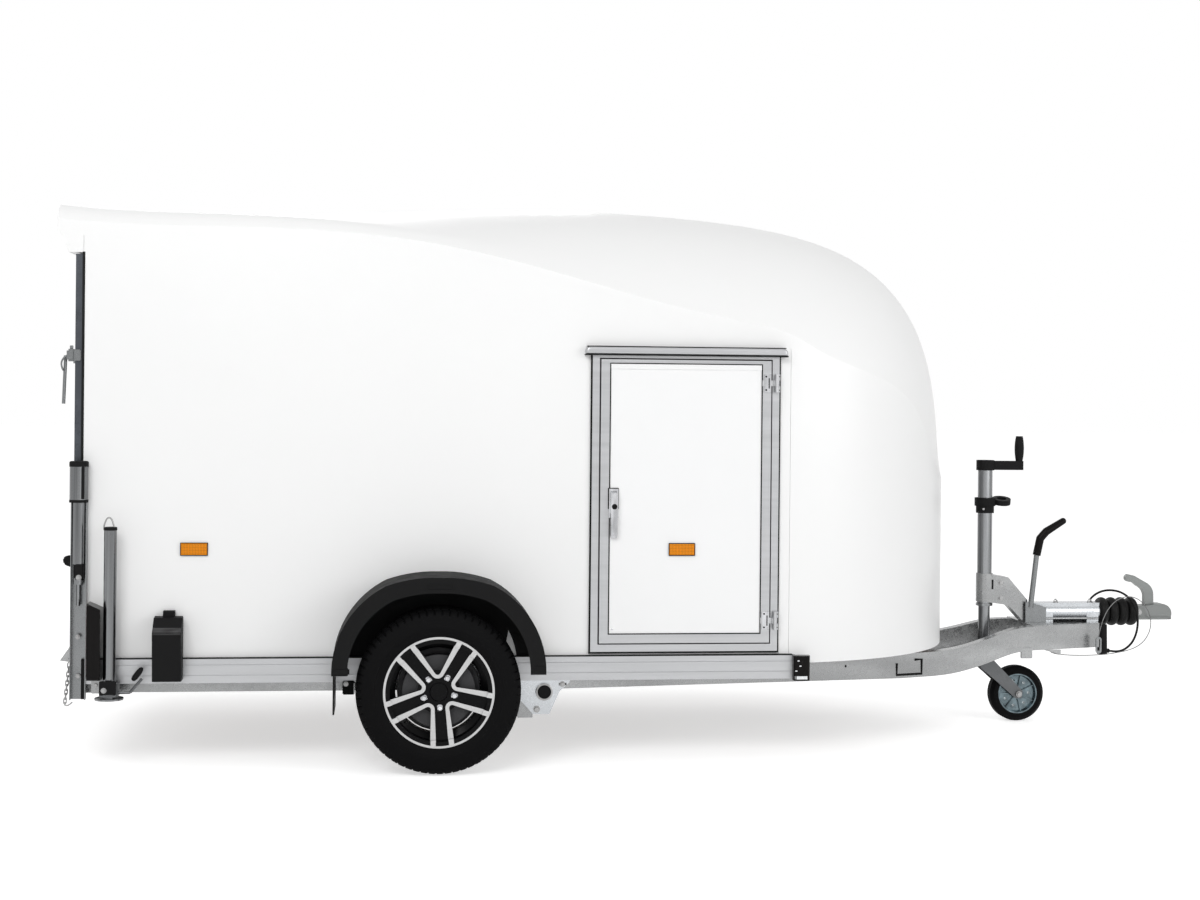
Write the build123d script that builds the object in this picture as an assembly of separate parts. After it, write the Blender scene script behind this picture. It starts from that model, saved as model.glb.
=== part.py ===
"""Single-axle box trailer with a moulded body, a side door and a rear ramp.

Millimetres, +Z up. The coupling points along +X, the left side is +Y and the
wheels stand on Z = 0. Pieces are laid out from the axle, where X is zero, and
moved at the end so that the origin lies under the middle of the trailer.
"""
import os
from math import acos, asin, atan2, cos, degrees, hypot, pi, radians, sin, tan

from build123d import *

# Overall places along the trailer, measured from the axle
LIP_REAR = 1350
WALL_REAR = 1259
NOSE_TIP = 2066
NOSE_START = 1200
PANEL_SPLIT = 1290
COUPLING_TIP = 3092
CENTRE_X = (COUPLING_TIP - LIP_REAR) / 2

# Clearances
CUT = 5
SEAT_GAP = 0.3
RUN_GAP = 5

# Across the trailer, half widths from its middle plane
BODY_HALF = 780
RAIL_PROUD = 20
RAIL_OUT = BODY_HALF + RAIL_PROUD
BEAM_INSET = 40
BEAM_OUT = BODY_HALF - BEAM_INSET
RAMP_INSET = 6
RAMP_HALF = BODY_HALF - RAMP_INSET
WHEEL_STAND_OFF = 130
WHEEL_PLANE = BODY_HALF + WHEEL_STAND_OFF
GUARD_WIDTH = 236
GUARD_OUT = BODY_HALF + GUARD_WIDTH
LEG_STAND_OFF = 50
LEG_OUT = RAIL_OUT + LEG_STAND_OFF
DOOR_PIVOT_PROUD = 26
DOOR_PIVOT_OUT = BODY_HALF + DOOR_PIVOT_PROUD

# Wheels
WHEEL_RADIUS = 292
TYRE_WIDTH = 182
RIM_RADIUS = 195
RIM_SEAT_RADIUS = 178
RIM_DISC_THICK = 20
RIM_WINDOW_RADIUS = 176
RIM_WELL_RADIUS = 158
HUB_FACE_RADIUS = 76
SPOKE_PAIRS = 5
SPOKE_PHASE = 22.2
SPOKE_SPREAD = 25.6
SPOKE_ROOT = 72
SPOKE_BEND = 17
SPOKE_ROOT_WIDTH = 13
SPOKE_RIM_WIDTH = 20
SPOKE_OVERRUN_SHARE = 0.3
SPOKE_RECESS = 7
CAP_RADIUS = 33
DRUM_RADIUS = 128
DRUM_WIDTH = 60
HUB_RADIUS = 38
STUB_RADIUS = 20
STUB_CLEARANCE = 0.05
BACKPLATE_THICK = 4

# Body
WALL = 20
PANEL_GAP = 1
FLOOR_THICK = 18
NOSE_BOTTOM = 356
CREST = 2074
DOME_X = 1050
DOME_Z = 1000
ROOF_HALF_SHARES = (0.872, 0.9615, 1.022)
ROOF_SHOULDER_DROP = 2
ROOF_BEND_DROP = 26
ROOF_EDGE_DROP = 111
ROOF_CUT_DEPTH = 500

# Sill rails and chassis
RAIL_TOP = 391
RAIL_HEIGHT = 88
RAIL_REAR = 1236
RAIL_FRONT = 1322
RAIL_CORNER = 18
RAIL_GROOVE = 3
BEAM_BOTTOM = 263
BEAM_HEIGHT = 97
BEAM_WIDTH = 50
BEAM_WALL = 5
BEAM_BEND = 450
BEAM_FRONT = 2755
BEAM_FRONT_OUT = 75
CROSS_WIDTH = 50
CROSS_WALL = 4
PIVOT_X = 385
PIVOT_Z = 262

# Side door
DOOR_REAR = 552
DOOR_FRONT = 1243
DOOR_BOTTOM = 404
DOOR_TOP = 1500
DOOR_FRAME_FACE = 26
DOOR_FRAME_PROUD = 12
LEAF_PROUD = 16
LEAF_THICK = 26
LEAF_BORDER = 34
DRIP_OVERHANG = 28
DRIP_HEIGHT = 28
DRIP_DEPTH = 34
DOOR_PIVOT_X = 1231
HINGE_LENGTH = 66
HINGE_RADIUS = 7
HINGE_PIN_RADIUS = 3
HINGE_PLACES = (516, 1387)

# Rear ramp
RAMP_REAR = 1287
RAMP_BOTTOM = 352
RAMP_TOP = 1820
RAMP_RIB = 45
RAMP_SKIN_INSET = 5
RAMP_PIVOT_X = 1273
RAMP_PIVOT_Z = 345
HOOD_BOTTOM = 1826
HOOD_SLOPE = 38
HOOD_FACE_BOTTOM = 1925

# Parking leg and jockey wheel
LEG_X = 1148
LEG_RADIUS = 22
LEG_TOP = 858
LEG_BOTTOM = 262
LEG_FOOT_RADIUS = 50
LEG_FOOT_THICK = 6
JOCKEY_X = 2286
JOCKEY_TUBE_RADIUS = 30
JOCKEY_TUBE_WALL = 3
JOCKEY_TUBE_BOTTOM = 478
JOCKEY_TUBE_TOP = 1040
JOCKEY_INNER_RADIUS = 24
JOCKEY_SLIDE_CLEARANCE = 0.1
JOCKEY_TRAIL = 137
JOCKEY_WHEEL_RADIUS = 114
JOCKEY_WHEEL_WIDTH = 62
JOCKEY_RIM_RADIUS = 82
JOCKEY_AXLE_RADIUS = 8


def block(x0, x1, y0, y1, z0, z1):
    """An upright box between two corners."""
    middle = Pos((x0 + x1) / 2, (y0 + y1) / 2, (z0 + z1) / 2)
    return middle * Box(abs(x1 - x0), abs(y1 - y0), abs(z1 - z0))


def rod_x(y, z, radius, x0, x1):
    return Pos((x0 + x1) / 2, y, z) * Rot(0, 90, 0) * Cylinder(radius, abs(x1 - x0))


def rod_y(x, z, radius, y0, y1):
    return Pos(x, (y0 + y1) / 2, z) * Rot(90, 0, 0) * Cylinder(radius, abs(y1 - y0))


def rod_z(x, y, radius, z0, z1):
    return Pos(x, y, (z0 + z1) / 2) * Cylinder(radius, abs(z1 - z0))


def prism_y(points, y0, y1):
    """A side-view outline of (x, z) points, given thickness across the trailer."""
    face = make_face(Polyline(*[(x, y0, z) for x, z in points], close=True))
    return extrude(face, amount=y1 - y0, dir=(0, 1, 0))


def prism_x(points, x0, x1):
    """An end-view outline of (y, z) points, given thickness along the trailer."""
    face = make_face(Polyline(*[(x0, y, z) for y, z in points], close=True))
    return extrude(face, amount=x1 - x0, dir=(1, 0, 0))


def prism_z(points, z0, z1):
    """A plan-view outline of (x, y) points, given height."""
    face = make_face(Polyline(*[(x, y, z0) for x, y in points], close=True))
    return extrude(face, amount=z1 - z0, dir=(0, 0, 1))


def other_side(shape):
    return mirror(shape, about=Plane.XZ)


def strut(start, end, radius):
    """A round bar from one point to another."""
    axis = Vector(*end) - Vector(*start)
    return extrude(Plane(origin=start, z_dir=axis.normalized()) * Circle(radius), amount=axis.length)


def solids_of(*shapes):
    """Several solids of one piece, kept apart."""
    found = []
    for shape in shapes:
        found.extend(shape.solids())
    return Compound(children=found)


def pair(shape):
    """The same piece on both sides of the trailer."""
    return solids_of(shape, other_side(shape))


parts = {}

# Tyres and wheels

TYRE_BEAD_RADIUS = 180
TYRE_SIDE_RADIUS = 240
TYRE_SHOULDER = 22
TYRE_WALL = 12
BEAD_WIDTH = 150
HUB_CAP_DEPTH = 6


def tyre():
    """A hollow road tyre, turned about its axle, with its middle plane on Y = 0."""
    half = TYRE_WIDTH / 2
    bead = BEAD_WIDTH / 2 - SEAT_GAP
    bead_top = RIM_RADIUS + SEAT_GAP
    tread = half - TYRE_SHOULDER
    outer = [
        Line((bead, TYRE_BEAD_RADIUS), (bead, bead_top)),
        ThreePointArc(
            (bead, bead_top),
            (half, TYRE_SIDE_RADIUS),
            (tread, WHEEL_RADIUS - TYRE_SHOULDER / 4),
        ),
        ThreePointArc(
            (tread, WHEEL_RADIUS - TYRE_SHOULDER / 4),
            (0, WHEEL_RADIUS),
            (-tread, WHEEL_RADIUS - TYRE_SHOULDER / 4),
        ),
        ThreePointArc(
            (-tread, WHEEL_RADIUS - TYRE_SHOULDER / 4),
            (-half, TYRE_SIDE_RADIUS),
            (-bead, bead_top),
        ),
        Line((-bead, bead_top), (-bead, TYRE_BEAD_RADIUS)),
        Line((-bead, TYRE_BEAD_RADIUS), (-bead + TYRE_WALL, TYRE_BEAD_RADIUS)),
        ThreePointArc(
            (-bead + TYRE_WALL, TYRE_BEAD_RADIUS),
            (0, WHEEL_RADIUS - 2 * TYRE_WALL),
            (bead - TYRE_WALL, TYRE_BEAD_RADIUS),
        ),
        Line((bead - TYRE_WALL, TYRE_BEAD_RADIUS), (bead, TYRE_BEAD_RADIUS)),
    ]
    return turn_about_y(make_face(Wire(outer)))


def turn_about_y(face):
    """Turn an (across, radius) outline about the axle, so that across becomes Y."""
    ring = revolve(face, axis=Axis.X)
    return Rot(0, 0, 90) * ring


def outline(points):
    return make_face(Polyline(*points, close=True))


def rim():
    """The alloy wheel, centred on the axle, its face towards +Y."""
    half = BEAD_WIDTH / 2
    lip = RIM_RADIUS
    seat = RIM_SEAT_RADIUS
    well = RIM_WELL_RADIUS
    wall = RIM_SEAT_RADIUS - RIM_WINDOW_RADIUS + BACKPLATE_THICK
    barrel = turn_about_y(
        outline(
            [
                (-half - wall, lip),
                (-half, lip),
                (-half, seat),
                (-half / 3, well),
                (half / 3, well),
                (half / 2, seat),
                (half, seat),
                (half, lip),
                (half + wall, lip),
                (half + wall, seat - wall),
                (half / 2, seat - wall),
                (half / 3, well - wall),
                (-half / 3, well - wall),
                (-half - wall, seat - wall),
            ]
        )
    )
    face_y = half - RUN_GAP
    back_y = face_y - RIM_DISC_THICK
    disc = rod_y(0, 0, HUB_FACE_RADIUS, back_y, face_y - SPOKE_RECESS)
    spokes = disc
    pitch = 360 / SPOKE_PAIRS
    for pair in range(SPOKE_PAIRS):
        centre = SPOKE_PHASE + pitch * pair
        spokes += spoke_u(centre, back_y, face_y)
        spokes += spoke_web(centre + pitch / 2, pitch / 2 - SPOKE_SPREAD, back_y, face_y)
    whole = barrel + (spokes & rod_y(0, 0, RIM_SEAT_RADIUS - SEAT_GAP, back_y - CUT, face_y + CUT))
    whole -= rod_y(0, 0, CAP_RADIUS, back_y - CUT, face_y + CUT)
    return whole


def polar(radius, angle):
    return radius * cos(radians(angle)), radius * sin(radians(angle))


def spoke_tongue(radius, spread, back_y, face_y):
    """A tongue with a round root near the hub, its sides running out past the rim."""
    ends = []
    for side in (-1, 1):
        rim_x, rim_z = polar(RIM_WINDOW_RADIUS, side * spread)
        away_x = rim_x - SPOKE_ROOT
        turn = degrees(atan2(rim_z, away_x)) + side * degrees(acos(radius / hypot(away_x, rim_z)))
        touch_x, touch_z = polar(radius, turn)
        touch_x += SPOKE_ROOT
        past = 1 + SPOKE_OVERRUN_SHARE
        ends.append([(touch_x, touch_z), (touch_x + past * (rim_x - touch_x), touch_z + past * (rim_z - touch_z))])
    (low, low_end), (high, high_end) = ends
    return prism_y([low, low_end, high_end, high], back_y, face_y) + rod_y(SPOKE_ROOT, 0, radius, back_y, face_y)


def spoke_u(centre, back_y, face_y):
    """Two bright bars that leave the rim and meet in a round bend near the hub."""
    lean = degrees(SPOKE_RIM_WIDTH / 2 / RIM_WINDOW_RADIUS)
    outer = spoke_tongue(SPOKE_BEND + SPOKE_ROOT_WIDTH / 2, SPOKE_SPREAD + lean, back_y, face_y)
    inner = spoke_tongue(SPOKE_BEND - SPOKE_ROOT_WIDTH / 2, SPOKE_SPREAD - lean, back_y - CUT, face_y + CUT)
    return Rot(0, -centre, 0) * (outer - inner)


def spoke_web(centre, spread, back_y, face_y):
    """The sunk black web between two neighbouring bright bars."""
    inner_a = polar(HUB_FACE_RADIUS - SPOKE_ROOT_WIDTH, centre - spread)
    inner_b = polar(HUB_FACE_RADIUS - SPOKE_ROOT_WIDTH, centre + spread)
    outer_a = polar(RIM_WINDOW_RADIUS, centre - spread)
    outer_b = polar(RIM_WINDOW_RADIUS, centre + spread)
    return prism_y([inner_a, outer_a, outer_b, inner_b], back_y, face_y - SPOKE_RECESS)


def wheel_cap():
    face_y = BEAD_WIDTH / 2 - RUN_GAP
    back_y = face_y - RIM_DISC_THICK
    cap = rod_y(0, 0, CAP_RADIUS - SEAT_GAP, back_y, face_y - SPOKE_RECESS + HUB_CAP_DEPTH)
    return chamfer(cap.edges().sort_by(Axis.Y)[-1], HUB_CAP_DEPTH / 2)


def drum():
    """Brake drum and hub, bolted to the back of the wheel disc."""
    front = BEAD_WIDTH / 2 - RUN_GAP - RIM_DISC_THICK
    back = front - DRUM_WIDTH
    body = rod_y(0, 0, DRUM_RADIUS, back, front - SPOKE_RECESS)
    body += rod_y(0, 0, HUB_FACE_RADIUS, back, front)
    body -= rod_y(0, 0, STUB_RADIUS + STUB_CLEARANCE, back - CUT, front + CUT)
    return body


WHEEL_MOVE = Pos(0, WHEEL_PLANE, WHEEL_RADIUS)
for side_name, flip in (("left", False), ("right", True)):
    for node, shape in (("tyre", tyre()), ("rim", solids_of(rim(), wheel_cap())), ("drum", drum())):
        placed = WHEEL_MOVE * shape
        parts[f"{node}_{side_name}"] = other_side(placed) if flip else placed

# Roof and nose moulding: arcs across the trailer, along the crown line

# Rear stations: share of the body length from the axle, crown height, arc radius over half width, squareness
ROOF_REAR_SHARES = (
    (-1.0, 0.9672, 5.616, 1.0),
    (-0.52, 0.9701, 3.0, 0.7),
    (-0.074, 0.9899, 2.15, 0.25),
    (0.37, 1.0, 1.449, 0.0),
)
# Dome stations: share of the turn from upright to level, reach, arc radius over half width
ROOF_DOME_SHARES = (
    (0.0, 0.9771, 1.1965),
    (0.08, 0.9765, 1.184),
    (0.25, 1.0081, 1.146),
    (0.5, 1.0632, 1.0357),
    (0.75, 1.0142, 1.029),
    (1.0, 1.0, 1.1141),
)


def roof_section(origin, up, crown, arc_radius, square, inner, outer):
    """A band across the trailer between two arcs, in the plane of Y and up."""
    circle = []
    for half in [share * BODY_HALF for share in ROOF_HALF_SHARES]:
        angle = asin(half / arc_radius)
        circle.append((half, crown - arc_radius * (1 - cos(angle)), sin(angle), cos(angle)))
    box_drops = (ROOF_SHOULDER_DROP, ROOF_BEND_DROP, ROOF_EDGE_DROP)
    box_normals = ((0, 1), (0.6, 0.8), (1, 0))
    rings = []
    for shift in (inner, outer):
        points = []
        for (half, height, ny, nz), drop, (by, bz) in zip(circle, box_drops, box_normals):
            rise = (1 - square) * height + square * (crown - drop)
            y = half + shift * ((1 - square) * ny + square * by)
            z = rise + shift * ((1 - square) * nz + square * bz)
            points.append((y, z))
        rings.append((points, crown + shift))

    def at(y, z):
        return (origin[0] + z * up[0], y, origin[1] + z * up[1])

    edges = []
    for points, top in rings:
        shoulder, bend, edge = points
        edges.append(ThreePointArc(at(-edge[0], edge[1]), at(-bend[0], bend[1]), at(-shoulder[0], shoulder[1])))
        edges.append(ThreePointArc(at(-shoulder[0], shoulder[1]), at(0, top), at(*shoulder)))
        edges.append(ThreePointArc(at(*shoulder), at(*bend), at(*edge)))
    for side in (-1, 1):
        low = rings[0][0][2]
        high = rings[1][0][2]
        edges.append(Line(at(side * low[0], low[1]), at(side * high[0], high[1])))
    return make_face(Wire.combine(edges)[0])


def roof_band(inner, outer):
    """The lofted moulding between two offsets from its outer surface."""
    rear = []
    for station, crown, arc_radius, square in ROOF_REAR_SHARES:
        origin = (station * LIP_REAR, 0)
        rear.append(roof_section(origin, (0, 1), crown * CREST, arc_radius * BODY_HALF, square, inner, outer))
    dome = []
    for turn, reach, arc_radius in ROOF_DOME_SHARES:
        angle = radians(90 * (1 - turn))
        up = (cos(angle), sin(angle))
        span = (1 - turn) * (CREST - DOME_Z) + turn * (NOSE_TIP - DOME_X)
        dome.append(roof_section((DOME_X, DOME_Z), up, reach * span, arc_radius * BODY_HALF, 0, inner, outer))
    return loft(rear + dome[:1]) + loft(dome)


def plan(inset, z0, z1):
    """The body's plan: straight sides and a half ellipse for the nose."""
    half = BODY_HALF - inset
    ellipse = Pos(NOSE_START, 0, z0) * Ellipse(NOSE_TIP - NOSE_START - inset, half)
    front = extrude(ellipse, amount=z1 - z0)
    front &= block(NOSE_START, NOSE_TIP, -half, half, z0, z1)
    return front + block(-LIP_REAR, NOSE_START, -half, half, z0, z1)


SHELL_TOP = CREST + WALL
shell_outside = plan(0, NOSE_BOTTOM, SHELL_TOP)
shell_inside = plan(WALL, NOSE_BOTTOM - CUT, SHELL_TOP + CUT)
shell_ring = shell_outside - shell_inside
moulding = roof_band(-WALL, 0)
above_walls = roof_band(-WALL / 2, ROOF_CUT_DEPTH)
roof_shell = moulding & shell_outside
parts["roof_shell"] = roof_shell

WALL_FRONT = PANEL_SPLIT - PANEL_GAP
door_hole = block(
    DOOR_REAR + DOOR_FRAME_FACE / 2, DOOR_FRONT - DOOR_FRAME_FACE / 2,
    -BODY_HALF - CUT, -BODY_HALF + WALL + CUT,
    DOOR_BOTTOM + DOOR_FRAME_FACE / 2, DOOR_TOP - DOOR_FRAME_FACE / 2,
)
wall_space = block(-WALL_REAR, WALL_FRONT, 0, BODY_HALF, RAIL_TOP, SHELL_TOP)
wall_left = (shell_ring & wall_space) - moulding - above_walls
parts["side_wall_left"] = wall_left
parts["side_wall_right"] = other_side(wall_left) - door_hole
nose_space = block(PANEL_SPLIT, NOSE_TIP, -BODY_HALF, BODY_HALF, NOSE_BOTTOM, SHELL_TOP)
parts["nose_shell"] = (shell_ring & nose_space) - moulding - above_walls

hood_outline = [
    (-WALL_REAR - PANEL_GAP, HOOD_BOTTOM),
    (-LIP_REAR + HOOD_SLOPE, HOOD_BOTTOM),
    (-LIP_REAR, HOOD_FACE_BOTTOM),
    (-LIP_REAR, SHELL_TOP),
    (-WALL_REAR - PANEL_GAP, SHELL_TOP),
]
parts["rear_hood"] = prism_y(hood_outline, -BODY_HALF, BODY_HALF) - moulding - above_walls

# Floor, sill rails and chassis

FLOOR_BOTTOM = BEAM_BOTTOM + BEAM_HEIGHT
FLOOR_REAR = WALL_REAR - 2 * RUN_GAP
floor = plan(WALL + SEAT_GAP, FLOOR_BOTTOM, FLOOR_BOTTOM + FLOOR_THICK)
parts["floor"] = floor - block(-LIP_REAR - CUT, -FLOOR_REAR, -BODY_HALF, BODY_HALF, 0, CREST)

RAIL_IN = BODY_HALF - WALL


def sill_rail():
    """Aluminium side rail with a shallow groove and a rounded front end."""
    bottom = RAIL_TOP - RAIL_HEIGHT
    rail = block(-RAIL_REAR, RAIL_FRONT, RAIL_IN, RAIL_OUT, bottom, RAIL_TOP)
    nose_space_cut = block(PANEL_SPLIT - PANEL_GAP, RAIL_FRONT + CUT, 0, BODY_HALF + SEAT_GAP, bottom - CUT, RAIL_TOP + CUT)
    corner = rail.edges().filter_by(Axis.Y).group_by(Axis.X)[-1].sort_by(Axis.Z)[-1]
    rail = fillet(corner, RAIL_CORNER)
    for share in (0.3, 0.72):
        z = bottom + share * RAIL_HEIGHT
        rail -= block(-RAIL_REAR - CUT, RAIL_FRONT + CUT, RAIL_OUT - RAIL_GROOVE, RAIL_OUT + CUT, z, z + RAIL_GROOVE)
    return rail - nose_space_cut


parts["sill_rails"] = pair(sill_rail())

# Beam underside: share of the way from bend to front, height over the low rear as a share of its own height
BEAM_LINE_SHARES = ((0.0, 0.0), (0.6, -0.35), (0.71, -0.25), (0.79, 0.2), (0.86, 0.5), (1.0, 0.5))


def beam_out(x):
    """Outer face of a beam at a place along the drawbar."""
    if x <= BEAM_BEND:
        return BEAM_OUT
    share = (x - BEAM_BEND) / (BEAM_FRONT - BEAM_BEND)
    return BEAM_OUT + share * (BEAM_FRONT_OUT - BEAM_OUT)


def beam_plan(inset_out, inset_in, z0, z1, overrun):
    """Plan strip of a beam: straight along the body, then running in to the coupling."""
    rear = -FLOOR_REAR - overrun
    front = BEAM_FRONT + overrun
    points = [
        (rear, BEAM_OUT - inset_out),
        (BEAM_BEND, BEAM_OUT - inset_out),
        (front, beam_out(front) - inset_out),
        (front, beam_out(front) - BEAM_WIDTH + inset_in),
        (BEAM_BEND, BEAM_OUT - BEAM_WIDTH + inset_in),
        (rear, BEAM_OUT - BEAM_WIDTH + inset_in),
    ]
    return prism_z(points, z0, z1)


def beam_side(inset, overrun):
    """Side view of a beam: low under the body, rising in a swan neck to the coupling."""
    length = BEAM_FRONT - BEAM_BEND
    low = [(BEAM_BEND + s * length, BEAM_BOTTOM + h * BEAM_HEIGHT) for s, h in BEAM_LINE_SHARES]
    high = [(x, z + BEAM_HEIGHT) for x, z in low]
    rear = -FLOOR_REAR - overrun

    def neck(points, shift):
        shifted = [(x, 0, z + shift) for x, z in points]
        front = (BEAM_FRONT + overrun, 0, points[-1][1] + shift)
        return [
            Line((rear, 0, points[0][1] + shift), shifted[0]),
            Line(shifted[0], shifted[1]),
            Spline(*shifted[1:5], tangents=[(1, 0, 0.02), (1, 0, 0.02)]),
            Line(shifted[4], front),
        ]

    lower = neck(low, inset)
    upper = neck(high, -inset)
    ends = [Line(lower[0] @ 0, upper[0] @ 0), Line(lower[-1] @ 1, upper[-1] @ 1)]
    face = make_face(Wire.combine(lower + upper + ends)[0])
    return extrude(face, amount=BEAM_OUT + overrun, dir=(0, 1, 0))


def chassis_beam():
    """A galvanised channel, open towards the middle of the trailer."""
    beam = beam_plan(0, 0, 0, CREST, 0) & beam_side(0, 0)
    beam -= beam_plan(BEAM_WALL, -CUT, 0, CREST, CUT) & beam_side(BEAM_WALL, CUT)
    return beam


parts["chassis_beams"] = pair(chassis_beam())

CROSS_X_SHARES = (-0.36, 0.22, 0.78, 1.3)
CROSS_HEIGHT = 52
PLATE_REAR = 2440
PLATE_THICK = 3
BEAM_TOP_FRONT = BEAM_BOTTOM + (1 + BEAM_LINE_SHARES[-1][1]) * BEAM_HEIGHT
PLATE_TOP = BEAM_TOP_FRONT + SEAT_GAP + PLATE_THICK


def beam_low(x):
    """Underside of a beam on the straight run that falls from the bend."""
    share, drop = BEAM_LINE_SHARES[1]
    fallen = (x - BEAM_BEND) / (BEAM_FRONT - BEAM_BEND) / share
    return BEAM_BOTTOM + fallen * drop * BEAM_HEIGHT


def cross_bar(x):
    """A channel that stands between the webs of the drawbar's beams, on their lower flanges."""
    rear = x - CROSS_WIDTH / 2
    front = x + CROSS_WIDTH / 2
    gap = BEAM_WALL + SEAT_GAP
    bottom = beam_low(rear) + gap
    top = bottom + CROSS_HEIGHT
    corners = [
        (rear, beam_out(rear) - gap), (front, beam_out(front) - gap),
        (front, gap - beam_out(front)), (rear, gap - beam_out(rear)),
    ]
    hollow = block(rear + CROSS_WALL, front + CUT, -BEAM_OUT, BEAM_OUT, bottom + CROSS_WALL, top - CROSS_WALL)
    return prism_z(corners, bottom, top) - hollow


def drawbar_plate():
    """The flat plate over both beams that carries the overrun housing and the jockey bracket."""
    corners = [
        (PLATE_REAR, beam_out(PLATE_REAR)), (BEAM_FRONT, BEAM_FRONT_OUT),
        (BEAM_FRONT, -BEAM_FRONT_OUT), (PLATE_REAR, -beam_out(PLATE_REAR)),
    ]
    return prism_z(corners, PLATE_TOP - PLATE_THICK, PLATE_TOP)


def cross_members():
    """Channels between the beams, with short outriggers that carry the sill rails."""
    found = [drawbar_plate()]
    top = FLOOR_BOTTOM
    bottom = RAIL_TOP - RAIL_HEIGHT
    half = BEAM_OUT - BEAM_WIDTH
    rear_x = -FLOOR_REAR + CROSS_WIDTH / 2
    for x in (rear_x, *[share * LIP_REAR for share in CROSS_X_SHARES]):
        if x > BEAM_BEND:
            found.append(cross_bar(x))
            continue
        rear = x - CROSS_WIDTH / 2
        front = x + CROSS_WIDTH / 2
        bar = block(rear, front, -half, half, bottom, top)
        bar -= block(rear + CROSS_WALL, front + CUT, -half - CUT, half + CUT, bottom + CROSS_WALL, top - CROSS_WALL)
        stub = block(rear, front, BEAM_OUT, RAIL_IN, bottom, top)
        found.extend([bar, stub, other_side(stub)])
    return solids_of(*found)


parts["cross_members"] = cross_members()

# Suspension: pivot bracket, trailing arm, stub axle and backplate on each side

BRACKET_INSET = 2
BRACKET_OUT = RAIL_OUT - BRACKET_INSET
BRACKET_THICK = 6
BRACKET_BOTTOM = 181
BRACKET_REAR = 300
BRACKET_FRONT = 478
PIVOT_RADIUS = 31.5
PIVOT_WALL = 6
ARM_INSET = 10
ARM_IN = BEAM_OUT + ARM_INSET
ARM_WIDTH = 34
ARM_DEPTH = 62
ARM_HUB_RADIUS = 44
SPRING_BLOCK_DROP = 62
BRACKET_CORNER = 40
ARM_TOP = 290
ARM_FOOT_HALF = 35
SPINDLE_BOSS_WIDTH = 12


def pivot_bracket():
    """Plates on both sides of the arm with the pivot tube through them."""
    bottom = RAIL_TOP - RAIL_HEIGHT
    points = [
        (BRACKET_REAR, bottom),
        (BRACKET_REAR, PIVOT_Z - PIVOT_RADIUS),
        (PIVOT_X - BRACKET_CORNER, BRACKET_BOTTOM),
        (PIVOT_X + BRACKET_CORNER / 2, BRACKET_BOTTOM),
        (PIVOT_X + 1.4 * BRACKET_CORNER, PIVOT_Z),
        (BRACKET_FRONT, bottom - BRACKET_THICK),
        (BRACKET_FRONT, bottom),
    ]
    outer = prism_y(points, BRACKET_OUT - BRACKET_THICK, BRACKET_OUT)
    inner = prism_y(points, BEAM_OUT, BEAM_OUT + BRACKET_THICK)
    tube = rod_y(PIVOT_X, PIVOT_Z, PIVOT_RADIUS, BEAM_OUT, BRACKET_OUT + BRACKET_THICK)
    flange = block(BRACKET_REAR, BRACKET_FRONT, BEAM_OUT, BRACKET_OUT, bottom - BRACKET_THICK, bottom)
    bracket = outer + inner + tube + flange
    return bracket - rod_y(PIVOT_X, PIVOT_Z, PIVOT_RADIUS - PIVOT_WALL, BEAM_OUT + BRACKET_THICK, BRACKET_OUT + CUT * 2)


DRUM_BACK = WHEEL_PLANE + BEAD_WIDTH / 2 - RUN_GAP - RIM_DISC_THICK - DRUM_WIDTH


def trailing_arm():
    """Arm under the sill rail from the pivot tube back to the stub axle, with the spring seat."""
    out = ARM_IN + ARM_WIDTH
    low = ARM_TOP - ARM_DEPTH
    arm = block(-ARM_FOOT_HALF, PIVOT_X, ARM_IN, out, low, ARM_TOP)
    arm += rod_y(PIVOT_X, (low + ARM_TOP) / 2, ARM_DEPTH / 2, ARM_IN, out)
    arm += block(BRACKET_REAR - 2 * CUT, PIVOT_X - BRACKET_CORNER, ARM_IN, out, low - SPRING_BLOCK_DROP, low)
    arm -= rod_y(PIVOT_X, PIVOT_Z, PIVOT_RADIUS, ARM_IN - CUT, out + CUT)
    boss_in = RAIL_OUT + RUN_GAP
    arm += block(-ARM_FOOT_HALF, ARM_FOOT_HALF, out, boss_in + SPINDLE_BOSS_WIDTH, low, ARM_TOP)
    arm += rod_y(0, WHEEL_RADIUS, ARM_HUB_RADIUS, boss_in, boss_in + SPINDLE_BOSS_WIDTH)
    arm += rod_y(0, WHEEL_RADIUS, HUB_RADIUS, boss_in, DRUM_BACK - RUN_GAP)
    arm += rod_y(0, WHEEL_RADIUS, STUB_RADIUS, boss_in, DRUM_BACK + DRUM_WIDTH - RUN_GAP)
    arm += rod_y(0, WHEEL_RADIUS, DRUM_RADIUS, DRUM_BACK - RUN_GAP - BACKPLATE_THICK, DRUM_BACK - RUN_GAP)
    return arm


parts["pivot_brackets"] = pair(pivot_bracket())
parts["trailing_arms"] = pair(trailing_arm())

# Mudguards with flaps

GUARD_TOP = 697
GUARD_HALF = 374
GUARD_BOTTOM = 356
GUARD_SKIN = 4
GUARD_LIP = 55
GUARD_FLANGE = 88
GUARD_MARK_HALF = 46
GUARD_MARK_TOP = 672
GUARD_MARK_HEIGHT = 17
GUARD_MARK_DEPTH = 2.5
FLAP_THICK = 6
FLAP_DROP = 135
# Outline shares of the half length and of the height above the lower edge
GUARD_SHARES = {"side": (0.84, 0.59), "shoulder": (0.5, 0.915), "crown": (0.24, 0.985)}


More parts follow.
